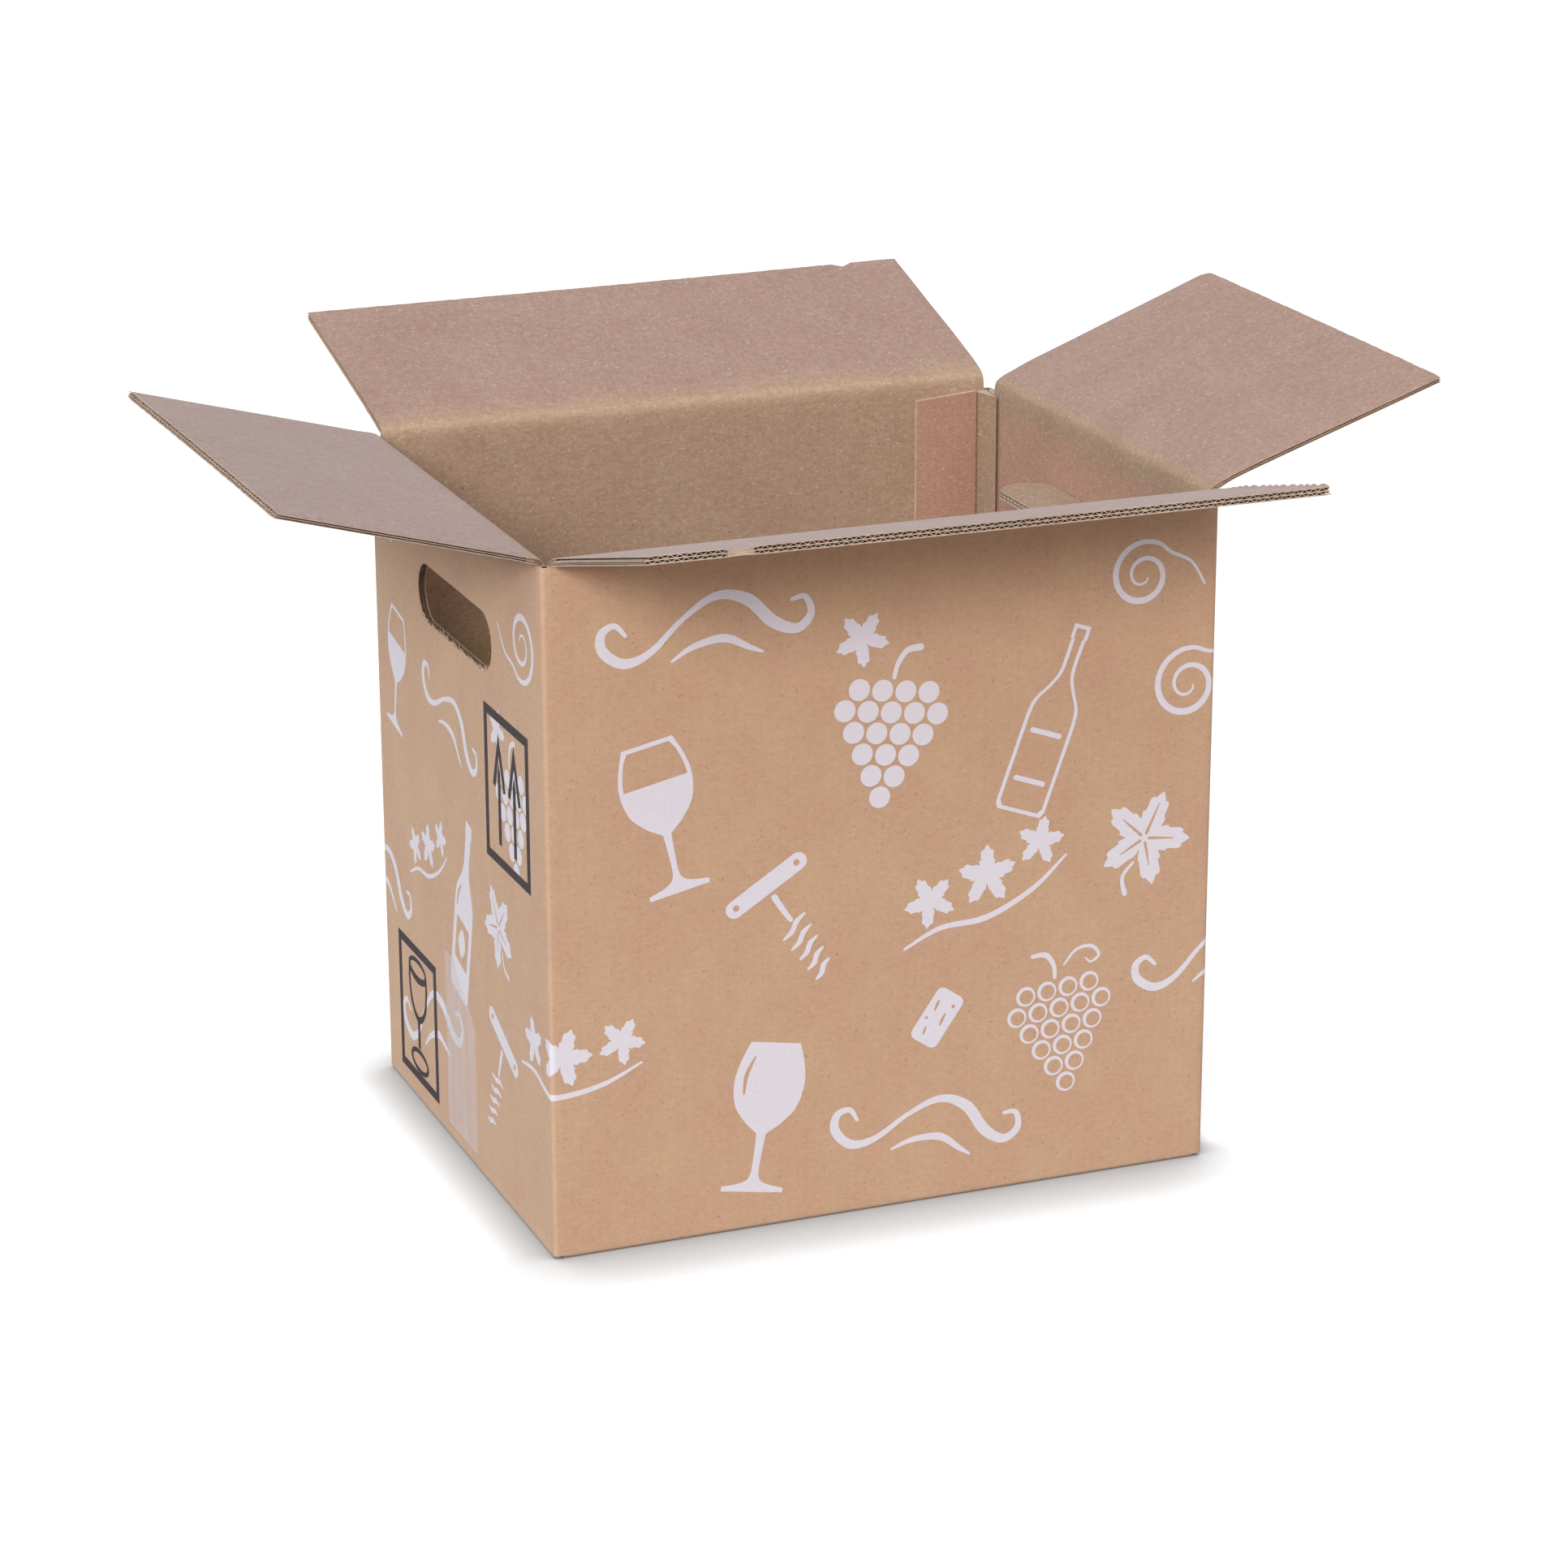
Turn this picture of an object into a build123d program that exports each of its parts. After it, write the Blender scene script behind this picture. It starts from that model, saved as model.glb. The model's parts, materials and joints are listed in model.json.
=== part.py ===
from build123d import *
from math import cos, radians, sin, sqrt
import os

# Clear space of the closed box, between the inner liners.
inside_length = 352.0
inside_width = 275.0
inside_height = 347.0

# Double-wall board: three liners with a fluted paper between each two.
board = 4.2
liner = 0.42
flute_paper = 0.32
flute_pitch = 6.4

# Flaps, the corner slots between them and the crushed board beside a crease.
flap_length = 135.0
long_slot = 5.5
short_slot = 7.0
slot_drop = 1.5
crease_zone = 10.0
layer_gap = 0.3
hinge_gap = 0.25

# Angle of each top flap above level, as the open box stands.
front_rest_degrees = 12.7
back_rest_degrees = 14.6
left_rest_degrees = 15.6
right_rest_degrees = 19.4

# Nick in the free edge of the back flap, near its right end.
nick_from_end = 34.0
nick_width = 12.0
nick_depth = 4.0

# Glued overlap on the inside of the back wall, at the right corner.
glue_tab_width = 41.0
glue_tab_thickness = 3.0
glue_tab_margin = 4.0
glue_tab_bevel = 6.0

# Hand holes in the short walls and the tongues folded in from them.
hole_width = 123.0
hole_height = 31.5
hole_below_crease = 47.0
tongue_cut = 0.6
tongue_rest_degrees = 102.0

# Clear tape along the bottom seam and up both short walls.
tape_width = 50.0
tape_thickness = 0.1
tape_shift = 7.5
tape_height = 106.0
tape_tear = 28.0
tape_tear_share = 0.3

# Height of the corner ends over the ground.
corner_lift = 1.5

up = Vector(0, 0, 1)
outward = {
    "front": Vector(0, -1, 0),
    "back": Vector(0, 1, 0),
    "left": Vector(-1, 0, 0),
    "right": Vector(1, 0, 0),
}

half_length = inside_length / 2 + board
half_width = inside_width / 2 + board
long_flap_width = 2 * (half_length - long_slot)
short_flap_width = 2 * (half_width - short_slot)

outer_floor = tape_thickness
inner_floor = outer_floor + board + layer_gap
floor_top = inner_floor + board
short_crease = floor_top + inside_height + board
long_crease = short_crease + board + layer_gap
slot_level = short_crease - slot_drop
hole_top = short_crease - hole_below_crease
hole_centre = hole_top - hole_height / 2


def wall_strip(side, inner, under, crease, free_edge, width):
    # One wall with its bottom flap, folded from one strip of board.
    fold = JernArc((inner, under), (1, 0), board, 90)
    lip = crease - hinge_gap
    rest = Polyline(
        fold @ 1,
        (inner + board, lip),
        (inner, lip - board),
        (inner, under + board),
        (free_edge, under + board),
        (free_edge, under),
        (inner, under),
    )
    section = Plane((0, 0, 0), outward[side], outward[side].cross(up)) * make_face(fold + rest)
    return extrude(section, width / 2, both=True)


def corner_posts():
    # Folded upright corners left between the slots.
    section = RectangleRounded(2 * half_length, 2 * half_width, board)
    section -= Rectangle(inside_length, inside_width)
    section -= Rectangle(long_flap_width, 2 * half_width)
    section -= Rectangle(2 * half_length, short_flap_width)
    foot = outer_floor + corner_lift
    return Pos(0, 0, foot) * extrude(section, slot_level - foot)


def glue_tab():
    low = floor_top + glue_tab_margin
    high = slot_level - glue_tab_margin
    corner = inside_length / 2
    free = corner - glue_tab_width
    outline = Polyline(
        (corner, low),
        (corner, high),
        (free, high - glue_tab_bevel),
        (free, low + glue_tab_bevel),
        close=True,
    )
    face = Plane.XZ.offset(-inside_width / 2) * make_face(outline)
    return extrude(face, glue_tab_thickness)


def hand_holes():
    outline = Plane.YZ * Pos(0, hole_centre) * SlotOverall(hole_width, hole_height)
    return extrude(outline, half_length + board, both=True)


def box_body():
    seam = half_width - flap_length
    short_end = half_length - flap_length
    body = corner_posts()
    for side in ("front", "back"):
        body += wall_strip(side, inside_width / 2, outer_floor, long_crease, seam, long_flap_width)
    for side in ("left", "right"):
        body += wall_strip(side, inside_length / 2, inner_floor, short_crease, short_end, short_flap_width)
    body += glue_tab()
    return body - hand_holes()


def board_section(width):
    # Cut end of the board across its flutes, drawn with the outer liner at the bottom.
    flute_height = (board - 3 * liner) / 2
    slope = 2 * flute_height / flute_pitch
    paper = flute_paper * sqrt(1 + slope**2) / 2
    foot = paper / slope
    count = int(width / flute_pitch - 1 / 2)
    start = -count * flute_pitch / 2
    side = width / 2
    levels = [liner, 2 * liner + flute_height]

    # The sides are cut along the flutes, so one flute of each paper lies open there.
    open_low = -start + foot
    open_high = -start - flute_pitch / 2 + foot
    right_edge = [(side, 0)]
    for level in levels:
        right_edge += [
            (side, level),
            (open_low, level),
            (open_high, level + flute_height),
            (side, level + flute_height),
        ]
    right_edge += [(side, board)]
    left_edge = [(-x, z) for x, z in reversed(right_edge)]
    outline = Wire.make_polygon(right_edge + left_edge)

    cells = []
    for level in levels:
        for i in range(count):
            x = start + i * flute_pitch
            cells.append([
                (x + foot, level),
                (x + flute_pitch - foot, level),
                (x + flute_pitch / 2, level + flute_height - paper),
            ])
        for i in range(1, count):
            x = start + i * flute_pitch
            cells.append([
                (x - flute_pitch / 2 + foot, level + flute_height),
                (x, level + paper),
                (x + flute_pitch / 2 - foot, level + flute_height),
            ])
    return Face(outline, [Wire.make_polygon(cell) for cell in cells])


def top_flap(side, crease, reach, width, rest, nick=False):
    # Drawn flat with its crease along X, then hung on the outer top edge of its wall.
    root = Polyline(
        (hinge_gap, 0),
        (crease_zone, 0),
        (crease_zone, board),
        (hinge_gap + board, board),
        close=True,
    )
    flap = extrude(Plane.YZ * make_face(root), width / 2, both=True)
    end = Plane.XZ.offset(-crease_zone) * board_section(width)
    flap += extrude(end, flap_length - crease_zone, dir=(0, 1, 0))
    if nick:
        dent = Polyline(
            (-nick_width / 2, flap_length),
            (0, flap_length - nick_depth),
            (nick_width / 2, flap_length),
            close=True,
        )
        flap -= Pos(long_flap_width / 2 - nick_from_end) * extrude(make_face(dent), board)
    out = outward[side]
    inner_side = up * cos(radians(rest)) - out * sin(radians(rest))
    return Plane(out * reach + up * crease, out.cross(up), inner_side) * flap


def hand_tongue(side):
    # Cut from the hole and folded in about the top edge of the hole's inner face.
    outline = SlotOverall(hole_width - 2 * tongue_cut, hole_height - 2 * tongue_cut)
    tongue = extrude(Pos(0, hole_height / 2) * outline, board)
    out = outward[side]
    outer_side = out * cos(radians(tongue_rest_degrees)) - up * sin(radians(tongue_rest_degrees))
    return Plane(out * (inside_length / 2) + up * hole_top, out.cross(up), outer_side) * tongue


def bottom_tape():
    # Laid under the outer bottom flaps, round the short folds and up the short walls.
    flap_end = long_flap_width / 2
    fold = inner_floor + board
    loops = []
    for out in (0, tape_thickness):
        run = [
            Line((half_length + out, tape_height), (half_length + out, fold)),
            JernArc((half_length + out, fold), (0, -1), board + out, -90),
            Line((inside_length / 2, inner_floor - out), (flap_end, outer_floor - out)),
            Line((flap_end, outer_floor - out), (0, outer_floor - out)),
        ]
        loops.append(run)
    ends = [
        Line((half_length, tape_height), (half_length + tape_thickness, tape_height)),
        Line((0, 0), (0, outer_floor)),
    ]
    half = make_face(loops[0] + loops[1] + ends)
    section = Plane.XZ * (half + mirror(half, Plane.YZ))
    tape = Pos(0, tape_shift) * extrude(section, tape_width / 2, both=True)

    front = tape_shift - tape_width / 2
    torn = Polyline(
        (front, tape_height),
        (front, tape_height - tape_tear),
        (front + tape_width * (1 - tape_tear_share), tape_height),
        close=True,
    )
    return tape - extrude(Plane.YZ * make_face(torn), half_length + board, both=True)


nodes = {
    "box_body": box_body(),
    "front_flap": top_flap("front", long_crease, half_width, long_flap_width, front_rest_degrees),
    "back_flap": top_flap("back", long_crease, half_width, long_flap_width, back_rest_degrees, nick=True),
    "left_flap": top_flap("left", short_crease, half_length, short_flap_width, left_rest_degrees),
    "right_flap": top_flap("right", short_crease, half_length, short_flap_width, right_rest_degrees),
    "left_tongue": hand_tongue("left"),
    "right_tongue": hand_tongue("right"),
    "bottom_tape": bottom_tape(),
}

os.makedirs("parts", exist_ok=True)
for name, shape in nodes.items():
    export_step(shape, f"parts/{name}.step")
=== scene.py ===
import json
import math

import bpy
import numpy as np
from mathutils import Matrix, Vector


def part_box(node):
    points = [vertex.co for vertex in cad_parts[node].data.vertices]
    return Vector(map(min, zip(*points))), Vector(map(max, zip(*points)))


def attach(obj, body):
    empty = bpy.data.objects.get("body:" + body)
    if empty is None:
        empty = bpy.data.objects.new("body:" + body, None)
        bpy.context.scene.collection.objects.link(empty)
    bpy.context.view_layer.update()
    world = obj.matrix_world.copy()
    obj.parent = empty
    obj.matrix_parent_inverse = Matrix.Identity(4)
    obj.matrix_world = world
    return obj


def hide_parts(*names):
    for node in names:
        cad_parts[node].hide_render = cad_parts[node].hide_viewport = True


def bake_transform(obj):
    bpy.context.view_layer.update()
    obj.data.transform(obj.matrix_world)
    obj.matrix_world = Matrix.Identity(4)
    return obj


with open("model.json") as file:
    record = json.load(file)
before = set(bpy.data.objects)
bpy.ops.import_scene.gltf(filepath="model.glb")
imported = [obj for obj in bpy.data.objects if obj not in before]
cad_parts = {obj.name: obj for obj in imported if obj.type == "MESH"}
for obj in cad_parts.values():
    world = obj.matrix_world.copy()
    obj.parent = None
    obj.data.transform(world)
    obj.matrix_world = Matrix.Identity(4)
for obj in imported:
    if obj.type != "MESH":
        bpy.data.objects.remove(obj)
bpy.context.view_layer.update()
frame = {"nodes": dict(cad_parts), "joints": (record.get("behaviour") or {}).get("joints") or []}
joints = {joint["name"]: joint for joint in frame["joints"]}
up, mm = Vector((0, 0, 1)), 0.001
outward = {"front": Vector((0, -1, 0)), "back": Vector((0, 1, 0)),
           "left": Vector((-1, 0, 0)), "right": Vector((1, 0, 0))}
print("stage: frame loaded")

# sizes that every board piece shares, in metres; the slots lie between the flaps at the carton's corners
# samples: points in one flute; fluteShift: second row of flutes against the first; tears start above the crease
sheet = {"thick": 0.0042, "liner": 0.00055, "paper": 0.00033, "pitch": 0.00462, "samples": 6, "fluteShift": 0.37,
         "linerStep": 0.0016, "tearFrom": 0.004, "tearGrow": 0.01, "corner": 0.0024, "longSlot": 0.0055,
         "shortSlot": 0.007, "tailLevel": 0.350, "slotLevel": 0.3585, "deepSlot": 0.3540, "floorGap": 0.0003}
bodyLow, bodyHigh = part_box("box_body")
halfLength, halfWidth = bodyHigh[0], bodyHigh[1]
innerLength, innerWidth = halfLength - sheet["thick"], halfWidth - sheet["thick"]
longHalf, shortHalf = halfLength - sheet["longSlot"], halfWidth - sheet["shortSlot"]
outerFloor = bodyLow[2]
innerFloor = outerFloor + sheet["thick"] + sheet["floorGap"]
floorTop = innerFloor + sheet["thick"]
hole = {"width": 0.123, "height": 0.0315, "top": joints["left_tongue_crease"]["pos_m"][2]}
hole["middle"] = hole["top"] - hole["height"] / 2


# small helpers for working on one object at a time
def pick(obj):
    bpy.ops.object.select_all(action="DESELECT")
    obj.select_set(True)
    bpy.context.view_layer.objects.active = obj
    return obj


def getPoints(obj):
    flat = np.empty(len(obj.data.vertices) * 3)
    obj.data.vertices.foreach_get("co", flat)
    return flat.reshape(-1, 3)


def setPoints(obj, points):
    obj.data.vertices.foreach_set("co", np.ascontiguousarray(points, dtype=float).ravel())
    obj.data.update()


def spread(start, *ways):
    # points reached from the start by an amount along each direction
    place = np.array(start, float)
    for amount, way in ways:
        place = place + np.outer(amount, np.array(way))
    return place


def useModifier(obj, kind, **settings):
    pick(obj)
    bpy.ops.object.modifier_add(type=kind)
    modifier = obj.modifiers[-1]
    for key, value in settings.items():
        setattr(modifier, key, value)
    bpy.ops.object.modifier_apply(modifier=modifier.name)


def cutWith(obj, cutter, operation="DIFFERENCE"):
    useModifier(obj, "BOOLEAN", object=cutter, operation=operation, solver="EXACT")


def joinAll(name, pieces):
    bpy.ops.object.select_all(action="DESELECT")
    for piece in pieces:
        piece.select_set(True)
    bpy.context.view_layer.objects.active = pieces[0]
    if len(pieces) > 1:
        bpy.ops.object.join()
    pieces[0].name = name
    pieces[0].data.name = name
    return pieces[0]


def applyPlace(obj):
    pick(obj)
    bpy.ops.object.transform_apply(location=True, rotation=True, scale=True)
    return obj


def removeObject(obj):
    pick(obj)
    bpy.ops.object.delete()


def smoothByAngle(obj, degrees):
    pick(obj)
    bpy.ops.object.shade_smooth_by_angle(angle=math.radians(degrees))


def editAll(obj, operator, **settings):
    pick(obj)
    bpy.ops.object.mode_set(mode="EDIT")
    bpy.ops.mesh.select_all(action="SELECT")
    operator(**settings)
    bpy.ops.object.mode_set(mode="OBJECT")


def bisectAt(obj, point, normal):
    editAll(obj, bpy.ops.mesh.bisect, plane_co=point, plane_no=normal)


def selectNone(obj, kind):
    pick(obj)
    bpy.ops.object.mode_set(mode="EDIT")
    bpy.ops.mesh.select_mode(type=kind)
    bpy.ops.mesh.select_all(action="DESELECT")
    bpy.ops.object.mode_set(mode="OBJECT")


def deleteFaces(obj, test):
    # the test gets a face's centre and normal
    selectNone(obj, "FACE")
    for face in obj.data.polygons:
        face.select = bool(test(face.center, face.normal))
    bpy.ops.object.mode_set(mode="EDIT")
    bpy.ops.mesh.delete(type="FACE")
    bpy.ops.object.mode_set(mode="OBJECT")


def bevelEdges(obj, test, width):
    # the test gets the two ends of an edge
    selectNone(obj, "EDGE")
    for edge in obj.data.edges:
        edge.select = bool(test(*(obj.data.vertices[i].co for i in edge.vertices)))
    bpy.ops.object.mode_set(mode="EDIT")
    bpy.ops.mesh.bevel(offset=width, segments=6, profile=0.5)
    bpy.ops.object.mode_set(mode="OBJECT")


def addShape(operator, **settings):
    bpy.ops.object.select_all(action="DESELECT")
    operator(**settings)
    return applyPlace(bpy.context.object)


def addBox(low, high):
    size = [high[i] - low[i] for i in range(3)]
    middle = [(high[i] + low[i]) / 2 for i in range(3)]
    return addShape(bpy.ops.mesh.primitive_cube_add, size=1, location=middle, scale=size)


def gridSheet(across, along):
    # flat grid with its columns and rows at the given places
    obj = addShape(bpy.ops.mesh.primitive_grid_add, x_subdivisions=len(across) - 1, y_subdivisions=len(along) - 1,
                   size=2)
    points = getPoints(obj)
    column = np.rint((points[:, 0] + 1) / 2 * (len(across) - 1)).astype(int)
    row = np.rint((points[:, 1] + 1) / 2 * (len(along) - 1)).astype(int)
    points[:, 0] = np.asarray(across)[column]
    points[:, 1] = np.asarray(along)[row]
    points[:, 2] = 0
    return obj, points, column, row


# shader helpers
def srgb(r, g, b):
    line = lambda c: c / 12.92 if c <= 0.04045 else ((c + 0.055) / 1.055) ** 2.4
    return tuple(line(c / 255) for c in (r, g, b)) + (1.0,)


def newMaterial(name):
    material = bpy.data.materials.new(name)
    material.use_nodes = True
    tree = material.node_tree
    return material, tree, tree.nodes["Principled BSDF"], tree.links.new


def setInputs(node, values):
    for name, value in values.items():
        node.inputs[name].default_value = value


def addNode(tree, kind, place=(0, 0), **settings):
    made = tree.nodes.new(kind)
    made.location = place
    for key, value in settings.items():
        if key in made.inputs.keys():
            made.inputs[key].default_value = value
        else:
            setattr(made, key, value)
    return made


def feed(tree, socket, value):
    # a socket takes a plain value or a link
    if isinstance(value, (int, float, tuple)):
        socket.default_value = value
    else:
        tree.links.new(value, socket)


def mathNode(tree, operation, *values, place=(0, 0)):
    made = addNode(tree, "ShaderNodeMath", place, operation=operation)
    for socket, value in zip(made.inputs, values):
        feed(tree, socket, value)
    return made.outputs[0]


def mixColour(tree, factor, first, second, blend="MIX", place=(0, 0)):
    made = addNode(tree, "ShaderNodeMix", place, data_type="RGBA", blend_type=blend)
    for index, value in ((0, factor), (6, first), (7, second)):  # the colour sockets of a Mix node
        feed(tree, made.inputs[index], value)
    return made.outputs[2]


def mapRange(tree, value, source, target=(0.0, 1.0), place=(0, 0)):
    made = addNode(tree, "ShaderNodeMapRange", place)
    for socket, number in zip(made.inputs[:5], (value, *source, *target)):
        feed(tree, socket, number)
    return made.outputs[0]


def addBump(tree, height, strength, distance, place):
    bump = addNode(tree, "ShaderNodeBump", place, Strength=strength, Distance=distance)
    tree.links.new(height, bump.inputs["Height"])
    tree.links.new(bump.outputs[0], tree.nodes["Principled BSDF"].inputs["Normal"])


# scale, detail, roughness, stretch, the span of the noise that shows, row in the node editor
grainLook = {"Blotch": (28, 4, 0.6, (1, 1, 0.7), (0.3, 0.7), 300),
             "Fibre": (420, 6, 0.8, (0.6, 0.6, 1.3), (0.25, 0.75), 100),
             "DarkSpeck": (760, 2, 0.5, (1, 1, 0.8), (0.66, 0.76), -100),
             "PaleSpeck": (700, 2, 0.5, (0.8, 1, 1.6), (0.62, 0.74), -300)}
# what every paper shares: the crease mark's share (rubbed paper and a painted highlight on the bend); the heights are
# shares of the bump
paperLook = {"creaseRubAndHighlightShare": 0.25, "darkSpeck": srgb(92, 66, 48), "paleSpeck": srgb(226, 205, 186), "fibreRough": 0.12,
             "fibreHeight": 0.35, "ridgeHeight": 0.5, "bumpDepth": 0.0002, "specular": 0.3, "sheenRough": 0.45}


def makePaperGroup():
    # recycled paper: blotches, fibres, dark and pale specks, and the ridges of the flutes under the liner
    group = bpy.data.node_groups.new("recycledPaper", "ShaderNodeTree")
    for name, kind in (("Place", "NodeSocketVector"), ("Across", "NodeSocketFloat"), ("Pitch", "NodeSocketFloat")):
        group.interface.new_socket(name=name, in_out="INPUT", socket_type=kind)
    for name in ("Blotch", "Fibre", "DarkSpeck", "PaleSpeck", "Ridge", "Height"):
        group.interface.new_socket(name=name, in_out="OUTPUT", socket_type="NodeSocketFloat")
    start = addNode(group, "NodeGroupInput", (-900, 0))
    end = addNode(group, "NodeGroupOutput", (700, 0))
    link = group.links.new

    def speckle(scale, detail, rough, stretch, span, level):
        mapping = addNode(group, "ShaderNodeMapping", (-600, level), Scale=stretch)
        link(start.outputs["Place"], mapping.inputs["Vector"])
        noise = addNode(group, "ShaderNodeTexNoise", (-400, level), Scale=scale, Detail=detail, Roughness=rough)
        link(mapping.outputs[0], noise.inputs["Vector"])
        return mapRange(group, noise.outputs[0], span, place=(-200, level))

    made = {name: speckle(*grain) for name, grain in grainLook.items()}
    turn = mathNode(group, "DIVIDE", start.outputs["Across"], start.outputs["Pitch"], place=(-400, -500))
    angle = mathNode(group, "MULTIPLY", turn, 2 * math.pi, place=(-200, -500))
    wave = mathNode(group, "SINE", angle, place=(0, -500))
    made["Ridge"] = mathNode(group, "MULTIPLY_ADD", wave, 0.5, 0.5, place=(200, -500))
    ridges = mathNode(group, "MULTIPLY", made["Ridge"], paperLook["ridgeHeight"], place=(300, -400))
    made["Height"] = mathNode(group, "MULTIPLY_ADD", made["Fibre"], paperLook["fibreHeight"], ridges,
                              place=(400, -300))
    for name, value in made.items():
        link(value, end.inputs[name])
    return group


paperGroup = makePaperGroup()


def addPaper(tree, left):
    # the paper group, read at the piece's own place
    place = addNode(tree, "ShaderNodeTexCoord", (left - 400, 0)).outputs["Object"]
    paper = addNode(tree, "ShaderNodeGroup", (left, 0), node_tree=paperGroup)
    paper.inputs["Pitch"].default_value = sheet["pitch"]
    tree.links.new(place, paper.inputs["Place"])
    return place, paper


def paperMaterial(name, axis, values):
    # the axis runs across the flutes
    material, tree, shader, link = newMaterial(name)
    place, paper = addPaper(tree, -1100)
    parts = addNode(tree, "ShaderNodeSeparateXYZ", (-1300, -200))
    link(place, parts.inputs[0])
    link(parts.outputs[axis], paper.inputs["Across"])
    deep, light = values["deep"], values["light"]
    if "foldDeep" in values:  # tone drifts from the wall to the flap across the crease
        fold = addNode(tree, "ShaderNodeAttribute", (-1100, 400), attribute_name="fold").outputs["Fac"]
        deep = mixColour(tree, fold, deep, values["foldDeep"], place=(-850, 400))
        light = mixColour(tree, fold, light, values["foldLight"], place=(-850, 600))
    for begin, finish, bandDeep, bandLight in values.get("bands", ()):  # tone drifts with height on the wall
        drift = mapRange(tree, parts.outputs[2], (begin, finish), place=(-950, 800))
        deep = mixColour(tree, drift, deep, bandDeep, place=(-750, 400))
        light = mixColour(tree, drift, light, bandLight, place=(-750, 600))
    base = mixColour(tree, paper.outputs["Blotch"], deep, light, place=(-650, 200))
    # painted highlight: the crease mark lightens the paper along the bend, partly rubbed paper
    creaseRubAndHighlight = addNode(tree, "ShaderNodeAttribute", (-850, 1000), attribute_name="creaseRubAndHighlight").outputs["Fac"]
    # mask, its share, the colour that it brings and how it is mixed
    layers = ((creaseRubAndHighlight, paperLook["creaseRubAndHighlightShare"], values["rubbedHighlightTone"], "MIX"),
              (paper.outputs["Ridge"], values["ridge"], values["shade"], "MULTIPLY"),
              (paper.outputs["Fibre"], values["fibre"], values["shade"], "MULTIPLY"),
              (paper.outputs["DarkSpeck"], values["speck"], paperLook["darkSpeck"], "MIX"),
              (paper.outputs["PaleSpeck"], values["fleck"], paperLook["paleSpeck"], "MIX"))
    for step, (mask, share, colour, blend) in enumerate(layers):
        factor = mathNode(tree, "MULTIPLY", mask, share, place=(-650 + 150 * step, -100))
        base = mixColour(tree, factor, base, colour, blend, (-500 + 150 * step, 200))
    link(base, shader.inputs["Base Color"])
    rough = mathNode(tree, "MULTIPLY_ADD", paper.outputs["Fibre"], paperLook["fibreRough"], values["rough"],
                     place=(-300, -500))
    link(rough, shader.inputs["Roughness"])
    addBump(tree, paper.outputs["Height"], values["bump"], paperLook["bumpDepth"], (-100, -300))
    setInputs(shader, {"Specular IOR Level": paperLook["specular"], "Sheen Weight": values["sheen"],
                       "Sheen Roughness": paperLook["sheenRough"]})
    return material


outerPaper = {"deep": srgb(220, 176, 148), "light": srgb(225, 187, 152), "shade": srgb(214, 196, 182),
              "rubbedHighlightTone": srgb(232, 200, 174), "ridge": 0.03, "fibre": 0.55, "speck": 0.4, "fleck": 0.24,
              "rough": 0.7, "bump": 0.16, "sheen": 0.2}
innerPaper = {"deep": srgb(194, 163, 138), "light": srgb(202, 172, 147), "shade": srgb(206, 194, 186),
              "foldDeep": srgb(186, 152, 138), "foldLight": srgb(194, 161, 147), "rubbedHighlightTone": srgb(220, 195, 166),
              "ridge": 0.04, "fibre": 0.9, "speck": 0.65, "fleck": 0.7, "rough": 0.75, "bump": 0.2, "sheen": 0.17}
# painted sheen: paler, bluer tone on the front and left flaps, which are seen at a grazing angle under the bluish
# fill
grazingSheenPaper = dict(innerPaper, foldDeep=srgb(195, 164, 157), foldLight=srgb(203, 173, 166))
darkPaper = dict(innerPaper, deep=srgb(182, 152, 126), light=srgb(190, 161, 135))
# painted shade: darker tone for the turn at the corner, which faces slantwise
turnShadePaper = dict(innerPaper, deep=srgb(168, 138, 112), light=srgb(176, 147, 121))
# redder tone for the short walls' inside and the glue tab: partly the panel's own tone, partly painted warm bounce
# light
endToneAndBouncePaper = dict(innerPaper, deep=srgb(194, 150, 128), light=srgb(202, 159, 137))
lowBand = (0.270, 0.225, srgb(200, 175, 138), srgb(208, 183, 146))
topBand = (0.338, 0.354, darkPaper["deep"], darkPaper["light"])
# painted shade: dark tone for the hand holes' cut board and open flutes, where shade falls inside the hole
holeShadePaper = {"deep": srgb(126, 104, 84), "light": srgb(148, 125, 104), "shade": srgb(190, 175, 165),
             "rubbedHighlightTone": srgb(150, 126, 104), "ridge": 0.0, "fibre": 0.7, "speck": 0.4, "fleck": 0.2,
             "rough": 0.85, "bump": 0.2, "sheen": 0.1}
# the fluting's own darker paper, darkened further as painted shade inside the open tubes
fluteShadedPaper = dict(holeShadePaper, deep=srgb(150, 120, 98), light=srgb(172, 142, 118), rubbedHighlightTone=srgb(200, 170, 145))
cutPaper = dict(holeShadePaper, deep=srgb(212, 184, 162), light=srgb(230, 206, 186), shade=srgb(190, 174, 162),
                rubbedHighlightTone=srgb(216, 190, 160), fibre=0.8, speck=0.6, fleck=0.3, bump=0.35, sheen=0.15)
outerLong = paperMaterial("outerLinerLong", 0, outerPaper)
outerShort = paperMaterial("outerLinerShort", 1, outerPaper)
innerLong = paperMaterial("innerLinerLong", 0, dict(innerPaper, bands=[lowBand]))
innerShort = paperMaterial("innerLinerShort", 1, dict(endToneAndBouncePaper, bands=[lowBand, topBand]))
tabMaterial = paperMaterial("innerLinerTab", 0, endToneAndBouncePaper)
holeMaterial = paperMaterial("holeCutPaper", 0, holeShadePaper)
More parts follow.
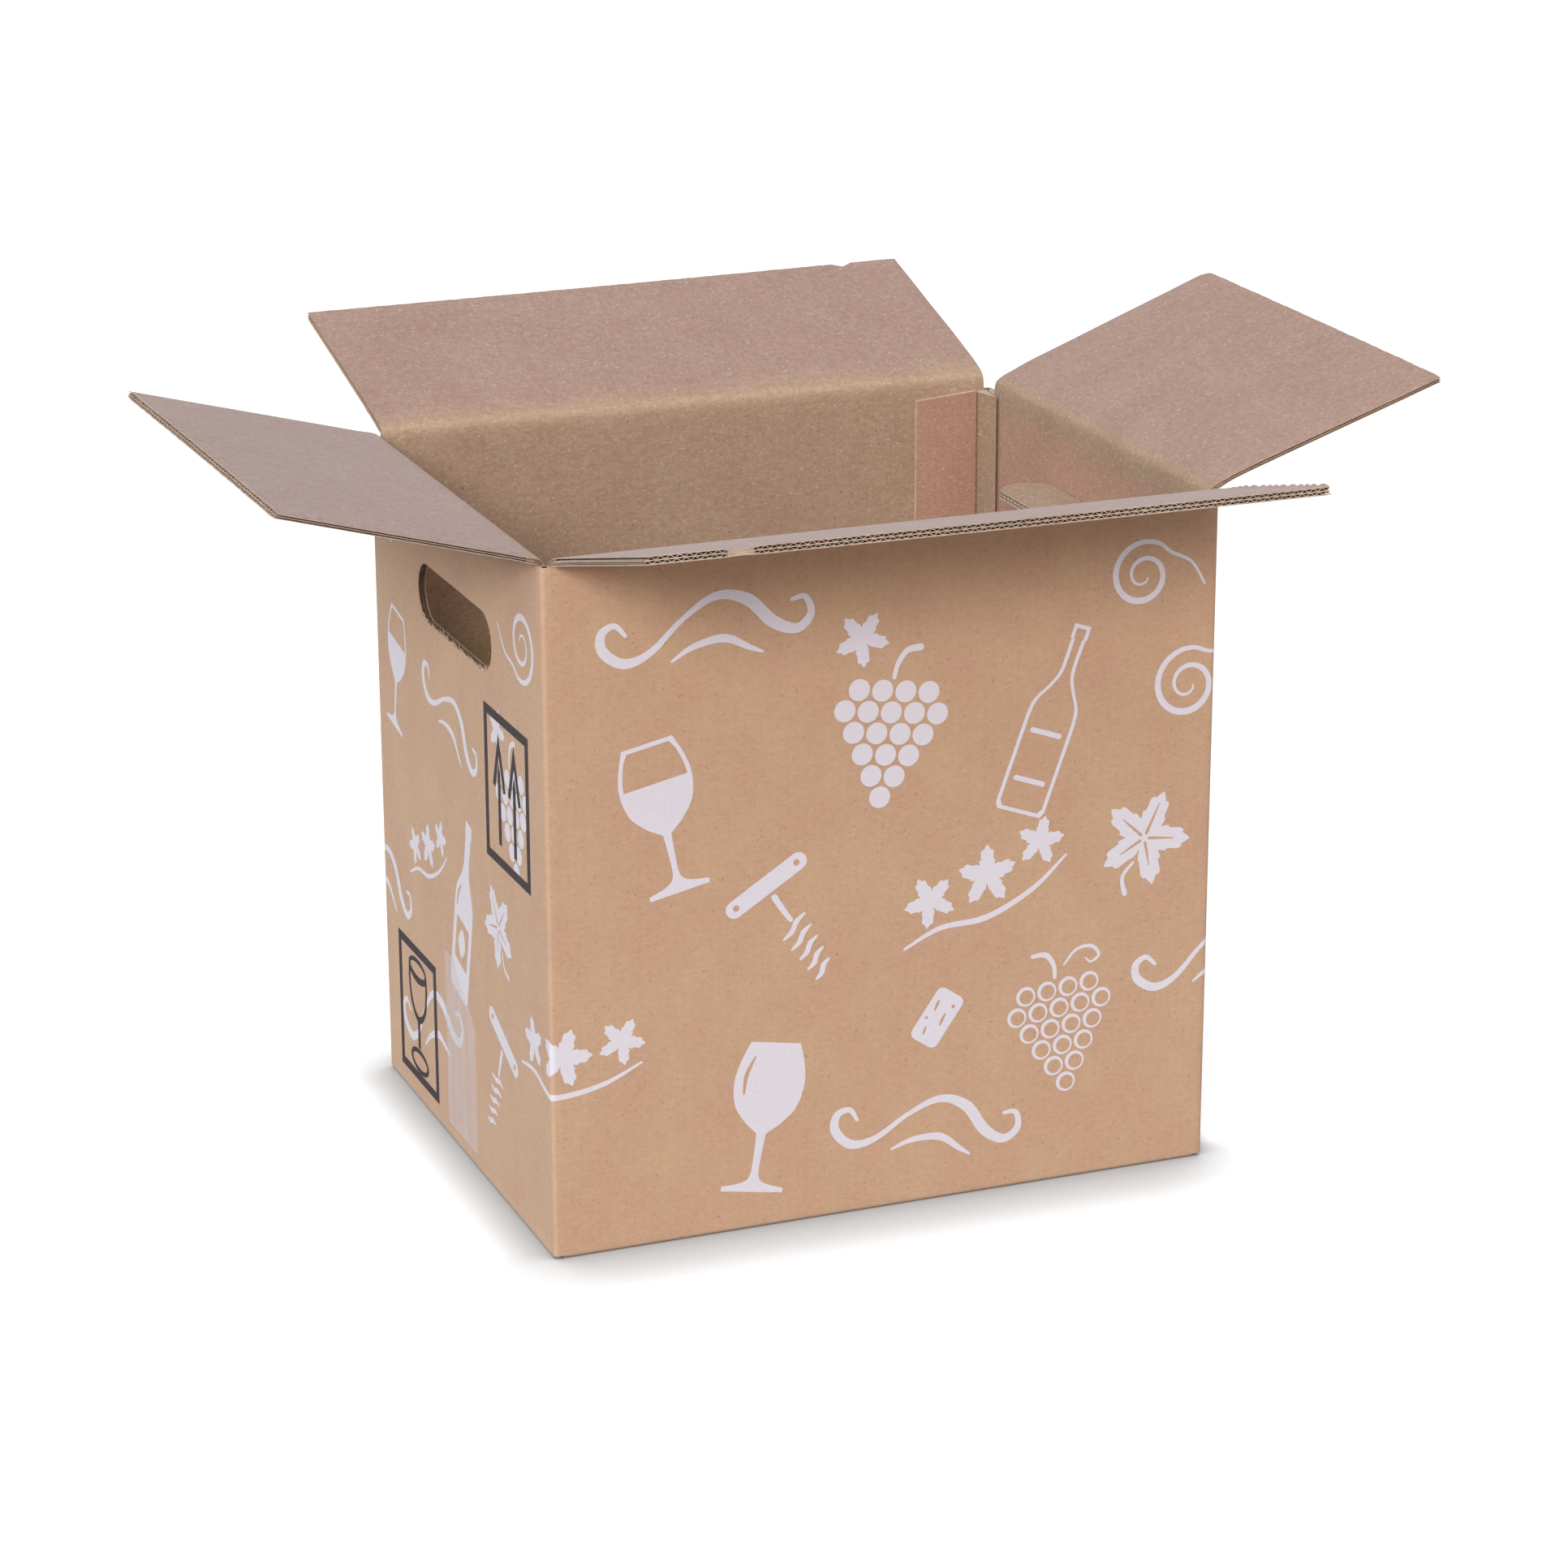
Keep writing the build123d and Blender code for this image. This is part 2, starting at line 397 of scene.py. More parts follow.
# the front and left flaps carry the painted sheen tone
flapMaterials = {"front": paperMaterial("innerLinerFrontFlap", 0, grazingSheenPaper), "back": innerLong,
                 "left": paperMaterial("innerLinerLeftFlap", 1, grazingSheenPaper),
                 "right": paperMaterial("innerLinerRightFlap", 1, darkPaper)}
turnMaterial = paperMaterial("innerLinerTurn", 1, turnShadePaper)
fluteMaterial = paperMaterial("flutedPaper", 0, fluteShadedPaper)
cutMaterial = paperMaterial("cutPaperEdge", 0, cutPaper)


printLook = {"fibre": srgb(205, 165, 135), "speck": srgb(190, 150, 120), "bump": 0.15, "rough": 0.6}


def inkMaterial(name, colour, thin):
    # flat print that lets a little of the paper's fibre through
    material, tree, shader, link = newMaterial(name)
    paper = addPaper(tree, -700)[1]
    bare = (("Fibre", thin, printLook["fibre"]), ("DarkSpeck", thin * 2, printLook["speck"]))
    base = colour
    for step, (mask, share, tone) in enumerate(bare):
        factor = mathNode(tree, "MULTIPLY", paper.outputs[mask], share, place=(-450, -200 * step))
        base = mixColour(tree, factor, base, tone, place=(-300 + 150 * step, 200))
    link(base, shader.inputs["Base Color"])
    addBump(tree, paper.outputs["Height"], printLook["bump"], paperLook["bumpDepth"], (-300, -300))
    setInputs(shader, {"Roughness": printLook["rough"], "Specular IOR Level": paperLook["specular"]})
    return material


whiteInk = inkMaterial("whitePrint", srgb(243, 235, 244), 0.14)
darkInk = inkMaterial("darkPrint", srgb(62, 56, 64), 0.10)

tapeLook = {"colour": srgb(236, 226, 228), "haze": (0.40, 0.62), "rough": 0.22, "coat": 0.4, "wrinkle": 0.3,
            "wrinkleDepth": 0.0008, "slant": 0.10, "stretch": 0.14}


def tapeFilm():
    # hazy film with streaks of trapped air; it throws no shadow
    material, tree, shader, link = newMaterial("clearTapeFilm")
    place = addNode(tree, "ShaderNodeTexCoord", (-1100, 0)).outputs["Object"]
    mapping = addNode(tree, "ShaderNodeMapping", (-900, 0), Rotation=(tapeLook["slant"], 0, 0),
                      Scale=(1, 1, tapeLook["stretch"]))
    link(place, mapping.inputs["Vector"])
    streak = addNode(tree, "ShaderNodeTexNoise", (-700, 100), Scale=85, Detail=3, Distortion=0.7)
    link(mapping.outputs[0], streak.inputs["Vector"])
    crease = addNode(tree, "ShaderNodeTexNoise", (-700, -200), Scale=55, Detail=2, Distortion=1.2)
    link(place, crease.inputs["Vector"])
    haze = mapRange(tree, streak.outputs[0], (0.3, 0.7), tapeLook["haze"], (-400, 100))
    side = addNode(tree, "ShaderNodeNewGeometry", (-400, 300)).outputs["Backfacing"]
    facing = mathNode(tree, "SUBTRACT", 1.0, side, place=(-250, 300))
    link(mathNode(tree, "MULTIPLY", haze, facing, place=(-150, 200)), shader.inputs["Alpha"])
    height = mathNode(tree, "ADD", streak.outputs[0], crease.outputs[0], place=(-400, -200))
    addBump(tree, height, tapeLook["wrinkle"], tapeLook["wrinkleDepth"], (-250, -300))
    setInputs(shader, {"Base Color": tapeLook["colour"], "Roughness": tapeLook["rough"],
                       "Coat Weight": tapeLook["coat"]})
    clear = addNode(tree, "ShaderNodeBsdfTransparent", (100, -200))
    rays = addNode(tree, "ShaderNodeLightPath", (100, 300))
    mix = addNode(tree, "ShaderNodeMixShader", (320, 0))
    link(rays.outputs["Is Shadow Ray"], mix.inputs[0])
    link(shader.outputs[0], mix.inputs[1])
    link(clear.outputs[0], mix.inputs[2])
    link(mix.outputs[0], tree.nodes["Material Output"].inputs["Surface"])
    return material


tapeMaterial = tapeFilm()
print("stage: materials made")


def setMaterials(obj, *materials):
    obj.data.materials.clear()
    for material in materials:
        obj.data.materials.append(material)


# corrugated board as real layers, drawn flat: x across the flutes, y along them, z from the outer liner in
def ragged(values, amount, seed):
    # torn paper edge: a few sines of unlike length, the same on every run
    rng = np.random.default_rng(seed)
    total = np.zeros_like(values)
    for wave in (0.0016, 0.0041, 0.011, 0.034):
        turns = values * 2 * math.pi / (wave * rng.uniform(0.8, 1.2)) + rng.uniform(0, 6.3)
        total += np.sin(turns) * rng.uniform(0.5, 1)
    return total * amount / 2


def thicken(obj, points, thickness, material, rim=1):
    # rim 1 gives the cut edges the cut paper
    setPoints(obj, points)
    setMaterials(obj, material, cutMaterial)
    useModifier(obj, "SOLIDIFY", thickness=thickness, offset=0, material_offset_rim=rim)
    return obj


def linerSheet(width, rows, level, material, wear):
    count = int(width / sheet["linerStep"])
    obj, points, column, row = gridSheet(np.linspace(-width / 2, width / 2, count + 1), rows)
    last = row == len(rows) - 1
    points[last, 1] += ragged(points[last, 0], wear["end"], wear["seed"])
    for side, edge in ((-1, column == 0), (1, column == count)):
        grow = np.clip((points[edge, 1] - sheet["tearFrom"]) / sheet["tearGrow"], 0, 1)
        points[edge, 0] += ragged(points[edge, 1], wear["side"], wear["seed"] + 3 + side) * grow
    points[:, 2] = level
    return thicken(obj, points, sheet["liner"], material)


def fluteSheet(width, rows, low, high, shift, wear):
    count = int(width / sheet["pitch"] * sheet["samples"])
    obj, points, _, row = gridSheet(np.linspace(-width / 2, width / 2, count + 1), rows)
    wave = 0.5 - 0.5 * np.cos(2 * math.pi * (points[:, 0] / sheet["pitch"] + shift))
    points[:, 2] = low + (high - low) * wave
    last = row == len(rows) - 1
    points[last, 1] += ragged(points[last, 0], wear["end"] * 1.5, wear["seed"] + 9) - wear["end"]
    return thicken(obj, points, sheet["paper"], fluteMaterial)


def boardLayers(width, rows, coreRows, skins, wear):
    # skins: the papers of the outer and inner liners; with none, only the core is made
    thick, half = sheet["thick"], sheet["liner"] / 2
    inner = width - 2 * wear.get("recess", 0)
    tear = lambda step: dict(wear, seed=wear["seed"] + step)  # each layer has its own torn edge
    layers = []
    for step, (material, level) in enumerate(zip(skins, (half, thick - half))):
        layers.append(linerSheet(width, rows, level, material, tear(20 * step)))
    layers.append(linerSheet(width, coreRows, thick / 2, fluteMaterial, tear(40)))
    layers.append(fluteSheet(inner, coreRows, 2 * half, thick / 2 - half, 0.0, tear(60)))
    layers.append(fluteSheet(inner, coreRows, thick / 2 + half, thick - 2 * half, sheet["fluteShift"],
                             tear(80)))
    return layers


# top flaps: one sheet that runs from the wall, over the crease, to the free edge
# sharp: half of the crease's own bend; drift: where the tone changes; rub: rubbed paper and a painted highlight on
# the crease; lift: crease above its level; rise: angle from crease to free edge; curl: degrees of curve above the
# crease;
# sag: hollow in the middle; pinch: squeeze of the cut sides; dent, nick: place, width (and depth); clip: corner cut
# off;
# scallop: side with a curled liner; ends: across, up and along shifts of the free corners, and roots: of the crease's
# ends, in mm
flapLook = {
    "crease": 0.360, "soft": 0.030,  # level of the crease, and where the curve above it ends
    "crush": 0.38, "crushWidth": 0.0035,  # how far the crease is pressed flat
    "recess": 0.0028, "stripInset": 0.0004, "stripThick": 0.0003,  # flutes and closing strips, inside the cut sides
    "blendReach": 0.0085,  # half of the part around the crease
    "endTear": 0.00022, "sideTear": 0.00025, "rubHighlightPlace": 0.0005, "rubHighlightWidth": 0.0024,
    "pinchWidth": 0.007, "pinchGrow": 0.01, "rootGrow": 0.004,
    "freeRow": 0.005, "clipSlope": 0.8,  # the part of the free edge that a nick or a clipped corner moves
    "front": {"seed": 11, "sharp": 0.0022, "drift": (0.0, 0.010), "rubHighlightAmount": 1.0, "rise": 14.5, "curl": 1.5,
              "length": 0.1355, "sag": -0.0004, "dent": (0.128, 0.0065), "scallop": -1, "pinch": 0.0,
              "recess": 0.0001, "ends": ((2.6, -0.6, 0), (-0.9, 0.6, 0)), "roots": (0, 0)},
    "back": {"seed": 12, "sharp": 0.0023, "drift": (0.002, 0.020), "rubHighlightAmount": 1.0, "lift": 0.0012, "rise": 16.2,
             "curl": 4.6, "length": 0.1357, "sag": -0.0004, "nick": (0.1407, 0.012, 0.004), "pinch": 0.1,
             "ends": ((-1.9, -0.9, 0), (1.5, 2.2, 0)), "roots": (0, 0)},
    "left": {"seed": 13, "sharp": 0.0018, "drift": (0.0, 0.008), "rubHighlightAmount": 0.7, "rise": 15.1, "curl": 0.5,
             "length": 0.1345, "sag": 0.0004, "pinch": 0.42, "ends": ((-1.2, 0.8, -1.9), (-0.6, -0.2, 3.2)),
             "roots": (-3.0, 0)},
    "right": {"seed": 14, "sharp": 0.0016, "drift": (0.0, 0.006), "rubHighlightAmount": 0.35, "rise": 20.35, "curl": 6.6,
              "length": 0.1365, "sag": 0.0004, "pinch": 0.42, "clip": 0.0055,
              "ends": ((3.0, 1.5, 3.1), (0.6, -1.9, 1.9)), "roots": (8.0, 0)},
}
foldRows = [-0.0055, -0.0035, -0.0022, -0.0011, 0, 0.0011, 0.0022, 0.0035, 0.0055, 0.008, 0.011, 0.015, 0.019,
            0.024, 0.030]


def foldPath(rise, length, tail, curl, sharp):
    # the board's middle line: up the wall, over a sharp crease, then a softer curve out to the free edge
    soft, extra = flapLook["soft"], math.radians(curl)
    along = np.concatenate([[-tail], np.linspace(-sharp * 2.2, length, 700)])
    ease = lambda t: np.clip(t, 0, 1) ** 2 * (3 - 2 * np.clip(t, 0, 1))
    final = rise
    for _ in range(6):  # the last slope is found by trying, so that crease and free edge lie at the given rise
        turn = final + extra * (1 - ease((along - sharp) / (soft - sharp)))
        slope = math.pi / 2 + (turn - math.pi / 2) * ease((along + sharp) / (2 * sharp))
        step = np.diff(along)
        middle = (slope[1:] + slope[:-1]) / 2
        out = np.concatenate([[0], np.cumsum(np.cos(middle) * step)])
        rising = np.concatenate([[0], np.cumsum(np.sin(middle) * step)]) - tail
        final += rise - math.atan2(rising[-1], out[-1])
    return along, out, rising, slope


def writeAttribute(obj, name, values):
    made = obj.data.attributes.new(name, "FLOAT", "POINT")
    made.data.foreach_set("value", np.ascontiguousarray(values, dtype=np.float32))


def acrossBoard(chosen):
    # levels of a strip that stands across the board, just inside the liners
    return np.where(chosen, sheet["liner"] * 0.5, sheet["thick"] - sheet["liner"] * 0.5)


def edgeStrip(width, rows, side):
    # closes the sheet's cut side near the crease
    obj, points, column, _ = gridSheet([0, 1], rows)
    points[:, 2] = acrossBoard(column == 0)
    points[:, 0] = side * (width / 2 - flapLook["stripInset"])
    return thicken(obj, points, flapLook["stripThick"], fluteMaterial, rim=0)


scallopLook = {"start": 0.022, "step": 0.0011, "reach": 0.0036, "wave": 0.0083, "lift": 0.0014, "grow": 0.02,
               "sunk": 0.0001, "thick": 0.0003}


def curledEdge(width, length, side):
    # the inner liner's cut side, lifted in small waves
    rows = np.arange(scallopLook["start"], length - 0.001, scallopLook["step"])
    obj, points, column, _ = gridSheet([0, 1, 2, 3], rows)
    reach, along = column / 3, points[:, 1]
    wave = np.abs(np.sin(along * math.pi / scallopLook["wave"] + 0.6 * np.sin(along * 170))) ** 0.7
    grow = np.clip((along - scallopLook["start"]) / scallopLook["grow"], 0, 1)
    points[:, 0] = side * (width / 2 - scallopLook["reach"] + scallopLook["reach"] * reach)
    points[:, 2] = sheet["thick"] - scallopLook["sunk"] + scallopLook["lift"] * wave * reach**1.6 * grow
    return thicken(obj, points, scallopLook["thick"], flapMaterials["front"])


dentLook = {"inset": 0.00025, "hollow": 0.0006, "thick": 0.0004, "reach": 0.012, "press": 0.25, "shift": 0.0003}


def crushedEnd(place, wide, length):
    # flutes pressed shut at a dent in the free edge
    obj, points, _, row = gridSheet(np.linspace(place - wide, place + wide, 9), [0, 1])
    points[:, 2] = acrossBoard(row == 0)
    points[:, 1] = length - dentLook["inset"] - dentLook["hollow"] * np.abs(points[:, 0] - place) / wide
    return thicken(obj, points, dentLook["thick"], cutMaterial, rim=0)


def flapLayers(side, width, tail):
    look = flapLook[side]
    length = look["length"]
    rows = [-tail] + foldRows + [0.05, 0.08, 0.11, length - 0.004, length]
    coreRows = [0.004] + foldRows[8:] + [0.07, length - 0.006, length]
    stripRows = [-tail] + foldRows[:10]
    wear = {"end": flapLook["endTear"], "side": flapLook["sideTear"], "seed": look["seed"],
            "recess": look.get("recess", flapLook["recess"])}
    outerMaterial = outerLong if side in ("front", "back") else outerShort
    layers = boardLayers(width, rows, coreRows, (outerMaterial, flapMaterials[side]), wear)
    layers += [edgeStrip(width, stripRows, -1), edgeStrip(width, stripRows, 1)]
    if "scallop" in look:
        layers.append(curledEdge(width, length, look["scallop"]))
    if "dent" in look:
        layers.append(crushedEnd(look["dent"][0], look["dent"][1], length))
    return joinAll(side + "FlapBoard", layers)


def damage(look, width, across, along, deep):
    # nick, clipped corner and dent in the free edge
    length = look["length"]
    atEdge = along > length - flapLook["freeRow"]
    if "nick" in look:
        place, wide, depth = look["nick"]
        notch = np.clip(1 - np.abs(across - place) / (wide / 2), 0, 1) * depth
        along = np.where(atEdge, along - notch, along)
    if "clip" in look:
        inset = np.clip(look["clip"] - (across + width / 2), 0, None)
        clipped = length - inset * flapLook["clipSlope"] + (along - length)
        along = np.where(atEdge, np.minimum(along, clipped), along)
    if "dent" in look:
        place, wide = look["dent"]
        toEdge = np.clip((along - (length - dentLook["reach"])) / dentLook["reach"], 0, 1)
        amount = np.exp(-(((across - place) / wide) ** 2)) * toEdge
        deep = deep * (1 - dentLook["press"] * amount) + amount * dentLook["shift"]
    return along, deep


def buildFlap(side):
    look = flapLook[side]
    width = 2 * (longHalf if side in ("front", "back") else shortHalf)
    hinge = joints[side + "_flap_crease"]["pos_m"]
    root = Vector((hinge[0], hinge[1], flapLook["crease"] + look.get("lift", 0)))
    length, thick = look["length"], sheet["thick"]
    tail = root[2] - sheet["tailLevel"]
    flap = flapLayers(side, width, tail)

    across, along, deep = getPoints(flap).T.copy()
    drift = look["drift"]
    writeAttribute(flap, "fold", np.clip((along - drift[0]) / (drift[1] - drift[0]), 0, 1))
    # crease mark along the bend: rubbed paper with a painted highlight
    toRubHighlight = (along - flapLook["rubHighlightPlace"]) / flapLook["rubHighlightWidth"]
    writeAttribute(flap, "creaseRubAndHighlight", look["rubHighlightAmount"] * np.exp(-(toRubHighlight**2)))
    near = np.clip(along / length, 0, 1)
    along, deep = damage(look, width, across, along, deep)
    deep = deep + look["sag"] * np.cos(math.pi * across / width) * near**2
    squeeze = 1 - flapLook["crush"] * np.exp(-((along / flapLook["crushWidth"]) ** 2))
    toSide = np.clip((np.abs(across) - (width / 2 - flapLook["pinchWidth"])) / flapLook["pinchWidth"], 0, 1) ** 1.5
    squeeze = squeeze * (1 - look["pinch"] * toSide * np.clip(along / flapLook["pinchGrow"], 0, 1))
    deep = thick / 2 + (deep - thick / 2) * squeeze

    # the free corners lie a little off the plain sheet, as in the photo
    first, second = np.array(look["ends"]) * mm
    begin, finish = np.array(look["roots"]) * mm
    share = across / width + 0.5
    shift = np.outer((1 - share) * near, first) + np.outer(share * near, second)
    rootGrow = flapLook["rootGrow"]
    leave = np.clip((along + rootGrow) / (2 * rootGrow), 0, 1) if begin < 0 else 1  # keeps off the wall below
    acrossNow = across + shift[:, 0] + leave * (1 - near) * ((1 - share) * begin + share * finish)
    alongNow = along + shift[:, 2]

    rise = math.radians(look["rise"])
    lineAlong, lineOut, lineUp, lineSlope = foldPath(rise, length, tail, look["curl"], look["sharp"])
    slope = np.interp(alongNow, lineAlong, lineSlope)
    beyond = np.maximum(alongNow - length, 0)
    out = np.interp(alongNow, lineAlong, lineOut) + beyond * np.cos(slope)
    rising = np.interp(alongNow, lineAlong, lineUp) + beyond * np.sin(slope)
    out = out - thick / 2 - (deep - thick / 2) * np.sin(slope)
    rising = rising + (deep - thick / 2) * np.cos(slope) + shift[:, 1]
    sideways = outward[side].cross(up)
    setPoints(flap, spread(root, (acrossNow, sideways), (out, outward[side]), (rising, up)))
    smoothByAngle(flap, 50)
    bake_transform(flap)
    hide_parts(side + "_flap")


for side in ("front", "back", "left", "right"):
    buildFlap(side)
print("stage: flaps built")


# walls: an outer and an inner liner, with flutes between them where a cut shows them
def stadiumCutter(width, height, middle, low, high):
    # round-ended prism along X
    cutter = addShape(bpy.ops.mesh.primitive_cylinder_add, vertices=48, radius=height / 2, depth=high - low,
                      location=((low + high) / 2, 0, middle), rotation=(0, math.pi / 2, 0))
    points = getPoints(cutter)
    way = np.where(points[:, 1] > 1e-6, 1, np.where(points[:, 1] < -1e-6, -1, 0))
    points[:, 1] += way * (width - height) / 2
    setPoints(cutter, points)
    return cutter


def wallRing(halfX, halfY, rounding, low, high):
    ring = addBox((-halfX, -halfY, low), (halfX, halfY, high))
    deleteFaces(ring, lambda centre, normal: abs(normal.z) > 0.5)
    if rounding:
        bevelEdges(ring, lambda first, second: abs(first.z - second.z) > 0.01, rounding)
    for x in (-longHalf, longHalf):
        bisectAt(ring, (x, 0, 0), (1, 0, 0))
    for y in (-shortHalf, shortHalf):
        bisectAt(ring, (0, y, 0), (0, 1, 0))
    for z in (outerFloor + sheet["thick"], floorTop, sheet["tailLevel"]):
        bisectAt(ring, (0, 0, z), (0, 0, 1))

    def isSpare(centre, normal):  # the top and bottom flaps have their own meshes
        onLong, onShort = abs(centre.x) < longHalf, abs(centre.y) < shortHalf
        if centre.z > sheet["tailLevel"]:
            return onLong or onShort
        return (onLong and centre.z < outerFloor + sheet["thick"]) or (onShort and centre.z < floorTop)

    deleteFaces(ring, isSpare)
    points = getPoints(ring)
    deeper = (points[:, 2] > sheet["slotLevel"] - 1e-5) & (points[:, 0] > 0) & (points[:, 1] > 0)
    points[deeper, 2] = sheet["deepSlot"]
    setPoints(ring, points)
    return ring


fibreLook = {"count": 120, "thin": 0.00040, "tip": 0.3, "short": 0.0010, "long": 0.0034, "inset": 0.0008,
             "roundPart": 0.75, "standOut": 0.45, "seed": 71}


def looseFibres(side):
    # torn paper hairs on the lower edge of a hand hole
    rng = np.random.default_rng(fibreLook["seed"])
    out, sideways = outward[side], outward[side].cross(up)
    straight, radius = (hole["width"] - hole["height"]) / 2, hole["height"] / 2
    hairs = []
    for _ in range(fibreLook["count"]):
        across = rng.uniform(-straight - radius * fibreLook["roundPart"], straight + radius * fibreLook["roundPart"])
        beyond = max(abs(across) - straight, 0)
        root = sideways * across + out * (halfLength - rng.uniform(0, fibreLook["inset"]))
        root += up * (hole["middle"] - math.sqrt(radius**2 - beyond**2))
        ahead = up * rng.uniform(0.25, 1) + sideways * rng.uniform(-1, 1) + out * rng.uniform(-0.2, 0.5)
        ahead.normalize()
        length = rng.uniform(fibreLook["short"], fibreLook["long"])
        hairs.append(addShape(bpy.ops.mesh.primitive_cone_add, vertices=3, radius1=fibreLook["thin"],
                              radius2=fibreLook["thin"] * fibreLook["tip"], depth=length,
                              location=root + ahead * length * fibreLook["standOut"],
                              rotation=ahead.to_track_quat("Z", "Y").to_euler()))
    fibres = joinAll(side + "HoleFibres", hairs)
    setMaterials(fibres, cutMaterial)
    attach(fibres, "carton")


# lowEdge: where the liners start above the outer floor; the flutes reach a little past the hand holes
wallLook = {"lowEdge": 0.0015, "fluteWidth": 0.150, "fluteReach": 0.030, "cutBeyond": 0.02, "seed": 31}


def buildWalls():
    low = outerFloor + wallLook["lowEdge"]
    outer = wallRing(halfLength, halfWidth, sheet["corner"], low, sheet["slotLevel"])
    inner = wallRing(innerLength, innerWidth, 0, low, sheet["slotLevel"])
    cutEnd = halfLength + wallLook["cutBeyond"]
    cutter = stadiumCutter(hole["width"], hole["height"], hole["middle"], -cutEnd, cutEnd)
    setMaterials(cutter, holeMaterial)
    for ring, name, grow, long, short in ((outer, "outerWalls", -1, outerLong, outerShort),
                                          (inner, "innerWalls", 1, innerLong, innerShort)):
        useModifier(ring, "SOLIDIFY", thickness=sheet["liner"], offset=grow)
        setMaterials(ring, long, short)
        for face in ring.data.polygons:
            if face.material_index == 0 and abs(face.normal.y) <= abs(face.normal.x):
                face.material_index = 1
        cutWith(ring, cutter)
        smoothByAngle(ring, 35)
        ring.name = name
        ring.data.name = name
        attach(ring, "carton")
    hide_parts("box_body")

    # flutes that the hand holes cut through
    for side in ("left", "right"):
        rows = np.linspace(hole["middle"] - wallLook["fluteReach"], hole["middle"] + wallLook["fluteReach"], 5)
        wear = {"end": 0, "side": 0, "seed": wallLook["seed"]}
        layers = boardLayers(wallLook["fluteWidth"], rows, rows, (), wear)
        for layer in layers:
            across, along, deep = getPoints(layer).T
            setPoints(layer, spread((0, 0, 0), (across, outward[side].cross(up)), (halfLength - deep, outward[side]),
                                    (along, up)))
            cutWith(layer, cutter)
        flutes = joinAll(side + "HoleFlutes", layers)
        setMaterials(flutes, holeMaterial)
        smoothByAngle(flutes, 50)
        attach(flutes, "carton")
    removeObject(cutter)
    for side in ("left", "right"):
        looseFibres(side)


# posts that fill the slots between the liners; below: top under the liners' edge; inset, round: room at the corner
cornerLook = {"foot": 0.345, "below": 0.0002, "hide": 0.0001, "inset": 0.0004, "round": 0.0016, "side": 0.0024,
              "widest": 0.0088, "widestInset": 0.0003, "widestLap": 0.0005}


def buildCorners():
    foot, hide, inset = cornerLook["foot"], cornerLook["hide"], cornerLook["inset"]
    longPost = ((longHalf, innerWidth - hide), (halfLength - cornerLook["round"], halfWidth - inset))
    shortPost = ((innerLength - hide, shortHalf), (halfLength - inset, innerWidth + cornerLook["side"]))
    posts = []
    for sx in (-1, 1):
        for sy in (-1, 1):
            top = sheet["deepSlot"] if sx > 0 and sy > 0 else sheet["slotLevel"]
            for near, far in (longPost, shortPost):
                xs, ys = sorted((near[0] * sx, far[0] * sx)), sorted((near[1] * sy, far[1] * sy))
                posts.append(addBox((xs[0], ys[0], foot), (xs[1], ys[1], top - cornerLook["below"])))
    # the deepest slot is also the widest
    widest = addBox((innerLength + cornerLook["widestInset"], shortHalf - cornerLook["widest"], foot),
                    (halfLength - hide, shortHalf + cornerLook["widestLap"],
                     sheet["deepSlot"] - 2 * cornerLook["below"]))
    for post in posts:
        setMaterials(post, cutMaterial)
    setMaterials(widest, cutMaterial, outerShort)
    for face in widest.data.polygons:
        face.material_index = 1 if face.normal.x > 0.9 else 0
    corner = joinAll("cornerTops", posts + [widest])
    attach(corner, "carton")


buildWalls()
buildCorners()
print("stage: walls built")

# bottom flaps, taped shut; the skirt brings the short walls' lower creases down level with the long walls' creases
bottomLook = {"length": 0.135, "fold": 0.0021, "skirtTop": 0.0024, "skirtRound": 0.0016, "skirtGap": 0.0003}


def buildBottom():
    flaps = []
    for across, half, slotHalf, level in ((0, halfWidth, longHalf, outerFloor),
                                          (1, halfLength, shortHalf, innerFloor)):
        out = 1 - across
        for way in (-1, 1):
            low, high = [0, 0, level], [0, 0, level + sheet["thick"]]
            low[across], high[across] = -slotHalf, slotHalf
            low[out], high[out] = sorted((way * (half - bottomLook["length"]), way * half))
            flap = addBox(low, high)
            isFold = lambda *ends: all(end[out] * way > half - 1e-4 and end.z < level + 1e-4 for end in ends)
            bevelEdges(flap, isFold, bottomLook["fold"])
            setMaterials(flap, (outerLong, outerShort)[across], (innerLong, innerShort)[across], cutMaterial)
            for face in flap.data.polygons:
                isEnd = abs(face.normal[out]) > 0.9 and abs(face.center[out]) < 0.1
                isCut = isEnd or abs(face.normal[across]) > 0.9
                face.material_index = 2 if isCut else (1 if face.normal.z > 0.9 else 0)
            smoothByAngle(flap, 35)
            flaps.append(flap)
    for way in (-1, 1):
        xs = sorted((way * (longHalf + bottomLook["skirtGap"]), way * halfLength))
        skirt = addBox((xs[0], -shortHalf, outerFloor + bottomLook["skirtGap"]),
                       (xs[1], shortHalf, innerFloor + bottomLook["skirtTop"]))
        useModifier(skirt, "BEVEL", width=bottomLook["skirtRound"], segments=5)
        setMaterials(skirt, outerShort)
        smoothByAngle(skirt, 35)
        flaps.append(skirt)
    bottom = joinAll("bottomFlaps", flaps)
    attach(bottom, "carton")


buildBottom()

# glued overlap inside the back wall; reach: how far the turn at the corner runs along the short wall
glueTab = {"width": 0.0435, "thick": 0.0030, "margin": 0.004, "bevel": 0.0028, "turn": 0.0068, "reach": 0.0185,
           "hide": 0.0001, "turnStand": 0.0017, "turnDown": 0.0003, "kink": (0.0005, 0.0006), "tabRound": 0.0006,
           "turnRound": 0.0005}


